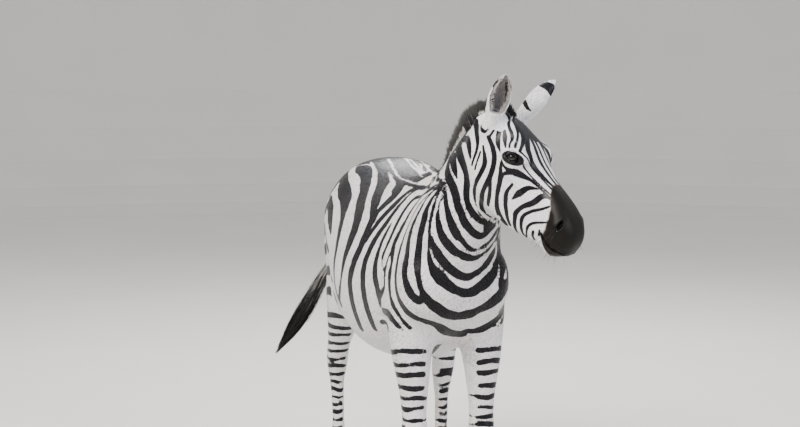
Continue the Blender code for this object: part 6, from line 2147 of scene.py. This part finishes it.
class TailHair:
    """The tassel: long hair from the end of the dock, grey-white where it starts and black below."""

    strands = 1500
    rings = 9

    def __init__(self, zebra: Zebra) -> None:
        """Keeps the tail that it grows on."""
        self.tail = zebra.tail

    def build(self, material: bpy.types.Material) -> bpy.types.Object:
        """The tassel as one mesh of tapered three-sided strands."""
        rng = np.random.default_rng(SEED + 2)
        count, rings = self.strands, self.rings
        start = np.where(rng.random(count) < 0.30, rng.uniform(0.28, 0.46, count),
                         rng.uniform(0.44, 0.60, count))
        finish = np.minimum(start + rng.uniform(0.22, 0.52, count), rng.uniform(0.86, 1.0, count))
        turn = rng.uniform(0, 2 * math.pi, count)
        reach = np.sqrt(rng.random(count))
        steps = np.linspace(0, 1, 301)
        centres, side, up, ahead = self.tail.frames(steps)
        dock = smooth_curve(self.tail.dock_radius, steps)
        tuft = smooth_curve(self.tail.tuft_radius, steps)
        points = np.empty((count, rings, 3, 3))
        wave = rng.normal(0, 0.35, count)
        for k in range(rings):
            s = k / (rings - 1)
            t = start + (finish - start) * s
            row = np.clip((t * 300).astype(int), 0, 300)
            spread = (dock[row] * (1 - s) + tuft[row] * s) * np.where(s < 0.02, 1.0, 1.0)
            far = spread * (1 - s + s * reach)
            angle = turn + wave * s
            radial = side[row] * np.cos(angle)[:, None] + up[row] * np.sin(angle)[:, None]
            tangent = np.cross(ahead[row], radial)
            centre = centres[row] + radial * np.maximum(far - 0.0015, 0.0)[:, None] - ORIGIN
            centre += rng.normal(0, 0.0012, (count, 3)) * s
            thick = 0.0019 * (1 - 0.82 * s)
            points[:, k, 0] = centre - tangent * thick
            points[:, k, 1] = centre + tangent * thick
            points[:, k, 2] = centre + radial * thick * 0.8
        faces = []
        for k in range(rings - 1):
            for a, b in ((0, 1), (1, 2), (2, 0)):
                p, q, r, w = 3 * k + a, 3 * k + b, 3 * k + 3 + b, 3 * k + 3 + a
                faces += [(p, q, r), (p, r, w)]
        faces += [(0, 2, 1), (3 * rings - 3, 3 * rings - 2, 3 * rings - 1)]
        faces = np.array(faces)[:, ::-1]
        triangles = (faces[None] + 3 * rings * np.arange(count)[:, None, None]).reshape(-1, 3)
        mesh = triangle_mesh("tail_tassel", points.reshape(-1, 3), triangles)
        pale = (start < 0.47) & (rng.random(count) < 0.75)
        set_attribute(mesh, "band", np.repeat(np.where(pale, 0.02, -0.02), 3 * rings))
        set_attribute(mesh, "shade", np.repeat(rng.random(count), 3 * rings))
        along = np.repeat(np.linspace(0, 1, rings), 3)
        set_attribute(mesh, "along", np.tile(along, count))
        spot = np.stack([np.tile([0.0, 1.0, 0.5], rings), along], 1) * 0.006
        places = np.stack([turn / (2 * math.pi), (start - 0.28) / 0.33], 1) * 0.98
        uv = places[:, None] + spot[None]
        layer = mesh.uv_layers.new(name="OFBake")
        layer.data.foreach_set("uv", uv.reshape(-1, 2)[triangles.ravel()].astype(np.float32).ravel())
        mesh.materials.append(material)
        return add_object("tail_tassel", mesh)


class FineHairs:
    """Whiskers, lashes and ear hair: tapered single hairs grown on points by Geometry Nodes."""

    def __init__(self, name: str, material: bpy.types.Material, radius: float, droop: float,
                 rings: int = 4) -> None:
        """Builds the tree with its sizes as named inputs."""
        self.name = name
        self.tree = self.grow_tree(material, rings)
        self.sizes = {"Radius": radius, "Droop": droop}

    def grow_tree(self, material: bpy.types.Material, rings: int) -> bpy.types.NodeTree:
        """A tree with a tapered, drooping hair on every point, along its `aim` and as long as its `reach`."""
        tree = bpy.data.node_groups.new(f"{self.name}_tree", "GeometryNodeTree")
        sockets = tree.interface
        sockets.new_socket("Geometry", in_out="INPUT", socket_type="NodeSocketGeometry")
        for label in ("Radius", "Droop"):
            sockets.new_socket(label, in_out="INPUT", socket_type="NodeSocketFloat")
        sockets.new_socket("Geometry", in_out="OUTPUT", socket_type="NodeSocketGeometry")

        def node(kind: str, settings: dict | None = None, links: dict | None = None) -> bpy.types.Node:
            """One node with its settings and links."""
            made = tree.nodes.new(kind)
            for key, value in (settings or {}).items():
                if isinstance(key, str) and hasattr(made, key):
                    setattr(made, key, value)
                else:
                    made.inputs[key].default_value = value
            for key, source in (links or {}).items():
                tree.links.new(source, made.inputs[key])
            return made

        given = node("NodeGroupInput")
        dots = node("GeometryNodeMeshToPoints", {}, {"Mesh": given.outputs["Geometry"]})
        cone = node("GeometryNodeMeshCone", {"Vertices": 3, "Side Segments": rings, "Radius Top": 0.12,
                                             "Radius Bottom": 1.0, "Depth": 1.0})
        place = node("GeometryNodeInputPosition")
        parts = node("ShaderNodeSeparateXYZ", {}, {0: place.outputs[0]})
        marked = node("GeometryNodeStoreNamedAttribute",
                      {"data_type": "FLOAT", "domain": "POINT", "Name": "height"},
                      {"Geometry": cone.outputs["Mesh"], "Value": parts.outputs["Z"]})
        aim = node("GeometryNodeInputNamedAttribute", {"data_type": "FLOAT_VECTOR", "Name": "aim"})
        reach = node("GeometryNodeInputNamedAttribute", {"data_type": "FLOAT", "Name": "reach"})
        turned = node("FunctionNodeAlignRotationToVector", {"axis": "Z"},
                      {"Vector": aim.outputs["Attribute"]})
        scale = node("ShaderNodeCombineXYZ", {}, {
            "X": given.outputs["Radius"], "Y": given.outputs["Radius"], "Z": reach.outputs["Attribute"]})
        stood = node("GeometryNodeInstanceOnPoints", {}, {
            "Points": dots.outputs["Points"], "Instance": marked.outputs["Geometry"],
            "Rotation": turned.outputs["Rotation"],
            "Scale": scale.outputs[0]})
        real = node("GeometryNodeRealizeInstances", {}, {"Geometry": stood.outputs["Instances"]})
        height = node("GeometryNodeInputNamedAttribute", {"data_type": "FLOAT", "Name": "height"})
        square = node("ShaderNodeMath", {"operation": "MULTIPLY"},
                      {0: height.outputs["Attribute"], 1: height.outputs["Attribute"]})
        fall = node("ShaderNodeMath", {"operation": "MULTIPLY"},
                    {0: square.outputs[0], 1: given.outputs["Droop"]})
        drop = node("ShaderNodeMath", {"operation": "MULTIPLY", 1: -1.0}, {0: fall.outputs[0]})
        offset = node("ShaderNodeCombineXYZ", {}, {"Z": drop.outputs[0]})
        bent = node("GeometryNodeSetPosition", {}, {"Geometry": real.outputs["Geometry"],
                                                    "Offset": offset.outputs[0]})
        dressed = node("GeometryNodeSetMaterial", {}, {"Geometry": bent.outputs["Geometry"]})
        dressed.inputs["Material"].default_value = material
        node("NodeGroupOutput", {}, {"Geometry": dressed.outputs["Geometry"]})
        return tree

    def build(self, roots: np.ndarray, aims: np.ndarray, reaches: np.ndarray) -> bpy.types.Object:
        """The hairs on the given roots, as a plain mesh."""
        mesh = bpy.data.meshes.new(f"{self.name}_points")
        mesh.from_pydata([tuple(p) for p in roots], [], [])
        way = mesh.attributes.new("aim", "FLOAT_VECTOR", "POINT")
        way.data.foreach_set("vector", unit(aims).astype(np.float32).ravel())
        set_attribute(mesh, "reach", reaches)
        seed = add_object(f"{self.name}_seed", mesh)
        grow = seed.modifiers.new("grow", "NODES")
        grow.node_group = self.tree
        for item in self.tree.interface.items_tree:
            if item.in_out == "INPUT" and item.name in self.sizes:
                grow[item.identifier] = self.sizes[item.name]
        made = evaluated(seed)
        bpy.data.objects.remove(seed)
        return add_object(self.name, made)


# ---------------------------------------------------------------- eyes, hooves and fine hair


class Eyeball:
    """A ball with a slight cornea, behind its lids."""

    def __init__(self, skull: Skull, eye: Eye, side: int, name: str) -> None:
        """Keeps the eye's place."""
        self.skull, self.eye, self.side, self.name = skull, eye, side, name

    def build(self, material: bpy.types.Material) -> bpy.types.Object:
        """The eyeball, looking out of its socket."""
        centre, long_axis, up, out = self.eye.axes(self.side)
        rows, count = 30, 44
        points, iris, pupil = [], [], []
        for polar in np.linspace(0, math.pi, rows):
            for turn in np.linspace(0, 2 * math.pi, count, endpoint=False):
                swell = 1.0 + 0.035 * math.exp(-((polar / 0.55) ** 4))
                reach = self.eye.radius * 0.985 * swell
                a, b = math.sin(polar) * math.cos(turn), math.sin(polar) * math.sin(turn)
                points.append(centre + reach * (a * long_axis + b * up + math.cos(polar) * out))
                iris.append(math.hypot(a / 0.80, b / 0.72) if polar < 1.6 else 2.0)
                pupil.append(1.0 if math.hypot(a / 0.40, b / 0.20) < 1 and polar < 1.5 else 0.0)
        faces = [(i * count + j, i * count + (j + 1) % count, (i + 1) * count + (j + 1) % count,
                  (i + 1) * count + j)
                 for i in range(rows - 1) for j in range(count)]
        mesh = bpy.data.meshes.new(self.name)
        mesh.from_pydata([tuple(p) for p in self.skull.out(np.array(points))], [], faces)
        set_attribute(mesh, "iris", np.array(iris))
        set_attribute(mesh, "pupil", np.array(pupil))
        work = bmesh.new()
        work.from_mesh(mesh)
        bmesh.ops.remove_doubles(work, verts=work.verts, dist=1e-6)
        bmesh.ops.recalc_face_normals(work, faces=work.faces)
        work.to_mesh(mesh)
        work.free()
        mesh.polygons.foreach_set("use_smooth", np.ones(len(mesh.polygons), bool))
        mesh.materials.append(material)
        return add_object(self.name, mesh)


@dataclass
class Hoof:
    """A hoof: wall with growth rings, level sole with a bevelled rim, coronet under the hair."""

    name: str
    leg: Leg
    toe: float
    heel: float
    half: float
    coronet: tuple[float, float, float]
    heights: tuple[float, float]

    def build(self, material: bpy.types.Material) -> bpy.types.Object:
        """The hoof's mesh."""
        middle = self.leg.middle(np.array([0.03]))[0] - ORIGIN
        toe_height, heel_height = self.heights
        front, back, top_half = self.coronet
        count = 56
        rings, wear = [], []
        shares = [0.0, 0.0, 0.012, 0.03, *np.linspace(0.07, 0.93, 22), 0.97, 1.0, 1.02]
        for i, share in enumerate(shares):
            lip = {0: 0.012, 1: 0.0022, 2: 0.0006}.get(i, 0.0)
            if share > 0.95:
                lip = 0.0016 + 0.05 * (share - 0.95)
            ripple = 0.00045 * math.sin(share * 46.0)
            reach = [(1 - share) * low + share * high - lip + ripple
                     for low, high in ((self.toe, front), (self.heel, back), (self.half, top_half))]
            ring = oval(reach[2], reach[0], reach[1], 2.15, 2.9, count=count)
            placed = placed_ring(ring, np.zeros(3), np.array([0, 1.0, 0]), np.array([1.0, 0, 0]))
            slope = (toe_height - heel_height) / (front + back)
            edge = heel_height + slope * (np.clip(placed[:, 0], -back, front) + back)
            placed[:, 2] = np.maximum(min(share, 1.0) * edge, 0.0)
            rings.append(placed + np.array([middle[0], middle[1], 0.0]))
            wear += [1.0 - min(share / 0.25, 1.0)] * count
        points, faces = loft(rings)
        mesh = mesh_from(self.name, points, faces)
        set_attribute(mesh, "wear", np.array(wear + [0.5, 0.0]))
        mesh.polygons.foreach_set("use_smooth", np.ones(len(mesh.polygons), bool))
        mesh.materials.append(material)
        return add_object(self.name, mesh)


class FaceHair:
    """Places the whiskers, lashes and ear hair."""

    def __init__(self, zebra: Zebra, markings: Markings, eye: Eye) -> None:
        """Keeps the head that they grow on."""
        self.zebra, self.markings, self.eye = zebra, markings, eye
        self.rng = np.random.default_rng(SEED + 3)

    def whiskers(self, material: bpy.types.Material) -> bpy.types.Object:
        """Sparse stiff hairs round the lips and chin."""
        skull = self.zebra.skull
        roots, aims, reaches = [], [], []
        for side in (1, -1):
            for _ in range(75):
                u, z = self.rng.uniform(0.385, 0.470), self.rng.uniform(-0.150, -0.060)
                start = Vector(skull.out(np.array([[u, side * 0.15, z]]))[0])
                way = Vector(skull.directions(np.array([0.0, -side, 0.0])))
                hit, out, *_ = self.markings.tree.ray_cast(start, way)
                if hit is None or (hit - start).length > 0.15:
                    continue
                roots.append(hit - 0.0008 * out)
                aims.append(np.array(out) + 0.5 * skull.directions(np.array([0.6, 0.0, -0.9]))
                            + self.rng.normal(0, 0.15, 3))
                reaches.append(self.rng.uniform(0.012, 0.030))
        hairs = FineHairs("whiskers", material, 0.00038, 0.006)
        return hairs.build(np.array(roots), np.array(aims), np.array(reaches))

    def lashes(self, material: bpy.types.Material) -> bpy.types.Object:
        """A thick fringe on each upper lid and a thin one below."""
        skull, eye = self.zebra.skull, self.eye
        roots, aims, reaches = [], [], []
        for side in (1, -1):
            centre, long_axis, up, out = eye.axes(side)
            for a in np.linspace(-0.84, 0.84, 70) * eye.half_length:
                for top in (True, False):
                    if not top and self.rng.random() < 0.72:
                        continue
                    height = eye.upper if top else eye.lower
                    reach = (eye.half_length**2 + height**2) / (2 * height)
                    b = math.sqrt(max(reach**2 - a**2, 0)) - (reach - height) + 0.0009
                    b = b if top else -b
                    e = math.sqrt(max((eye.radius + eye.lid * 1.2) ** 2 - a * a - b * b, 0.0))
                    roots.append(skull.out(np.array([centre + a * long_axis + b * up + e * out]))[0])
                    way = out * 1.0 + up * (0.10 if top else -0.5) + long_axis * (a / eye.half_length * 0.45)
                    aims.append(skull.directions(way) + self.rng.normal(0, 0.10, 3))
                    reaches.append(self.rng.uniform(0.009, 0.015) * (1.0 if top else 0.55))
        hairs = FineHairs("lashes", material, 0.00036, 0.0045)
        return hairs.build(np.array(roots), np.array(aims), np.array(reaches))

    def ear_hair(self, material: bpy.types.Material) -> bpy.types.Object:
        """Soft pale hair inside the ears, thickest along the edges."""
        roots, aims, reaches = [], [], []
        for ear in self.zebra.ears:
            root, axis, opening, across = ear.frame()
            for _ in range(900):
                t = self.rng.uniform(ear.foot + 0.05, 0.93)
                half = float(smooth_curve(ear.radius, [t])[0]) - ear.wall - 0.0004
                wrap = math.radians(float(smooth_curve(ear.wrap, [t])[0]))
                edge = self.rng.random() < 0.62
                turn = (wrap * self.rng.choice([-1.0, 1.0]) * self.rng.uniform(0.80, 0.98) if edge
                        else self.rng.uniform(-0.8, 0.8) * wrap)
                radial = across * math.sin(turn) - opening * math.cos(turn)
                roots.append(root + t * ear.length * axis + radial * half - ORIGIN)
                inward = -radial * (0.75 if edge else 0.35) + opening * 0.25
                aims.append(axis * 0.85 + inward + self.rng.normal(0, 0.12, 3))
                reaches.append(self.rng.uniform(0.010, 0.020) * (1.0 if edge else 0.7) * (1.1 - 0.4 * t))
        hairs = FineHairs("ear_hair", material, 0.00042, 0.0)
        return hairs.build(np.array(roots), np.array(aims), np.array(reaches))


# ---------------------------------------------------------------- studio


@dataclass
class Studio:
    """A pale floor, soft light and the camera."""

    lens: float = 75.56
    lights: dict[str, tuple] = field(default_factory=lambda: {
        "key": ((2.8, -3.6, 5.0), 3.6, 420.0, "#FFF9F2"),
        "fill": ((5.2, 3.4, 3.0), 3.4, 150.0, "#F2F5FF"),
        "back": ((-3.6, 1.5, 4.6), 3.2, 200.0, "#FFFFFF")})

    def floor(self, material: bpy.types.Material) -> bpy.types.Object:
        """A wide floor that curves up far behind the animal."""
        rings = [(0.01, 0.0), (11.0, 0.0), *((11.0 + 4.0 * math.sin(a),
                                              4.0 * (1 - math.cos(a))) for a in np.linspace(0.15, 1.4, 9)),
                 (15.4, 9.0)]
        points, faces, count = [], [], 64
        for reach, height in rings:
            for turn in np.linspace(0, 2 * math.pi, count, endpoint=False):
                points.append((max(reach, 0.01) * math.cos(turn), max(reach, 0.01) * math.sin(turn),
                               height - 0.0005))
        for i in range(len(rings) - 1):
            for j in range(count):
                k = (j + 1) % count
                faces.append((i * count + j, (i + 1) * count + j, (i + 1) * count + k, i * count + k))
        faces.append(tuple(range(count)))
        mesh = bpy.data.meshes.new("floor")
        mesh.from_pydata(points, [], faces)
        mesh.materials.append(material)
        return add_object("floor", mesh)

    def build(self, material: bpy.types.Material) -> None:
        """Floor, lights, sky and camera."""
        self.floor(material)
        for name, (place, size, power, colour) in self.lights.items():
            light = bpy.data.lights.new(name, "AREA")
            light.shape = "DISK"
            light.size = size
            light.energy = power
            light.color = hex_colour(colour)[:3]
            lamp = bpy.data.objects.new(name, light)
            lamp.location = place
            lamp.rotation_euler = (Vector((0.1, 0.0, 0.9)) - Vector(place)).to_track_quat("-Z",
                    "Y").to_euler()
            bpy.context.scene.collection.objects.link(lamp)
        world = bpy.data.worlds.new("soft_sky")
        world.use_nodes = True
        sky = world.node_tree.nodes["Background"]
        sky.inputs["Color"].default_value = hex_colour("#E9ECF1")
        sky.inputs["Strength"].default_value = 0.95
        bpy.context.scene.world = world
        bpy.context.scene.view_settings.look = "AgX - Medium High Contrast"
        data = bpy.data.cameras.new("camera")
        data.lens = self.lens
        data.sensor_width = 36.0
        data.clip_end = 100.0
        camera = bpy.data.objects.new("camera", data)
        camera.location = CAMERA_AT
        turn, rise = math.radians(CAMERA_TURN), math.radians(CAMERA_TILT)
        way = Vector((math.cos(turn) * math.cos(rise), math.sin(turn) * math.cos(rise), math.sin(rise)))
        camera.rotation_euler = way.to_track_quat("-Z", "Y").to_euler()
        bpy.context.scene.collection.objects.link(camera)
        bpy.context.scene.camera = camera


FLESH = (
    "trunk", "neck", "head", "foreleg_left", "foreleg_right", "forecannon_left", "forecannon_right",
    "hindleg_left",
    "hindleg_right", "hindcannon_left", "hindcannon_right", "tail_dock", "ear_left", "ear_right",
)


def finish_piece(piece: bpy.types.Object, slot: str, *nodes: str) -> None:
    """Rides a piece on the animal's one body and hides the solids that it stands for."""
    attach(piece, "root")
    if nodes:
        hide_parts(*nodes)
    log.info("%s: %d triangles", piece.name, sum(len(p.vertices) - 2 for p in piece.data.polygons))


def main() -> None:
    """Builds the animal and its studio."""
    logging.basicConfig(level=logging.INFO, format="%(message)s")
    zebra = Zebra()
    maker = Skin(zebra)
    mesh = maker.build()
    skin = add_object("skin", mesh)
    markings = Markings(zebra, mesh, maker.eye)
    for name, values in markings.read(coordinates(mesh)).items():
        set_attribute(mesh, name, values)
    atlas = Atlas(zebra)
    atlas.unwrap(mesh)
    mesh.materials.append(CoatHair().build())
    finish_piece(skin, "coat", *FLESH)
    tuft_hair = CoatHair("zebra_coat_tufts", on_skin=False).build()
    for piece in Coat(zebra, mesh, markings, atlas).build(tuft_hair):
        finish_piece(piece, "coat")
    finish_piece(ManeHair(zebra, markings).build(LongHair(tip_from=0.42).build()), "mane_hair", "mane")
    tassel = LongHair("zebra_tail_hair", white="#B9B6B4", tip="#0E0D0F", tip_from=0.45).build()
    finish_piece(TailHair(zebra).build(tassel), "tail_hair", "tail_tuft")
    wet = EyeGloss().build()
    for side, word in ((1, "left"), (-1, "right")):
        finish_piece(Eyeball(zebra.skull, maker.eye, side, f"eyeball_{word}").build(wet), "eye",
                     f"eye_{word}")
    horn = Horn().build()
    sizes = {True: (0.066, 0.044, 0.045, (0.037, 0.041, 0.0385), (0.068, 0.036)),
             False: (0.063, 0.042, 0.041, (0.036, 0.040, 0.0375), (0.066, 0.036))}
    for leg in zebra.legs:
        kind, word = leg.name.split("_")
        hoof = Hoof(f"hoof_{leg.name}", leg, *sizes[leg.fore])
        finish_piece(hoof.build(horn), "hoof_horn", f"{kind}hoof_{word}")
    hairs = FaceHair(zebra, markings, maker.eye)
    bristle = FineHair().build()
    finish_piece(hairs.whiskers(bristle), "mane_hair")
    finish_piece(hairs.lashes(bristle), "mane_hair")
    finish_piece(hairs.ear_hair(FineHair("zebra_ear_hair", "#BDB8B4", "#D8D4D0").build()), "coat")
    Studio().build(Plaster().build())


if __name__ == "__main__":
    main()
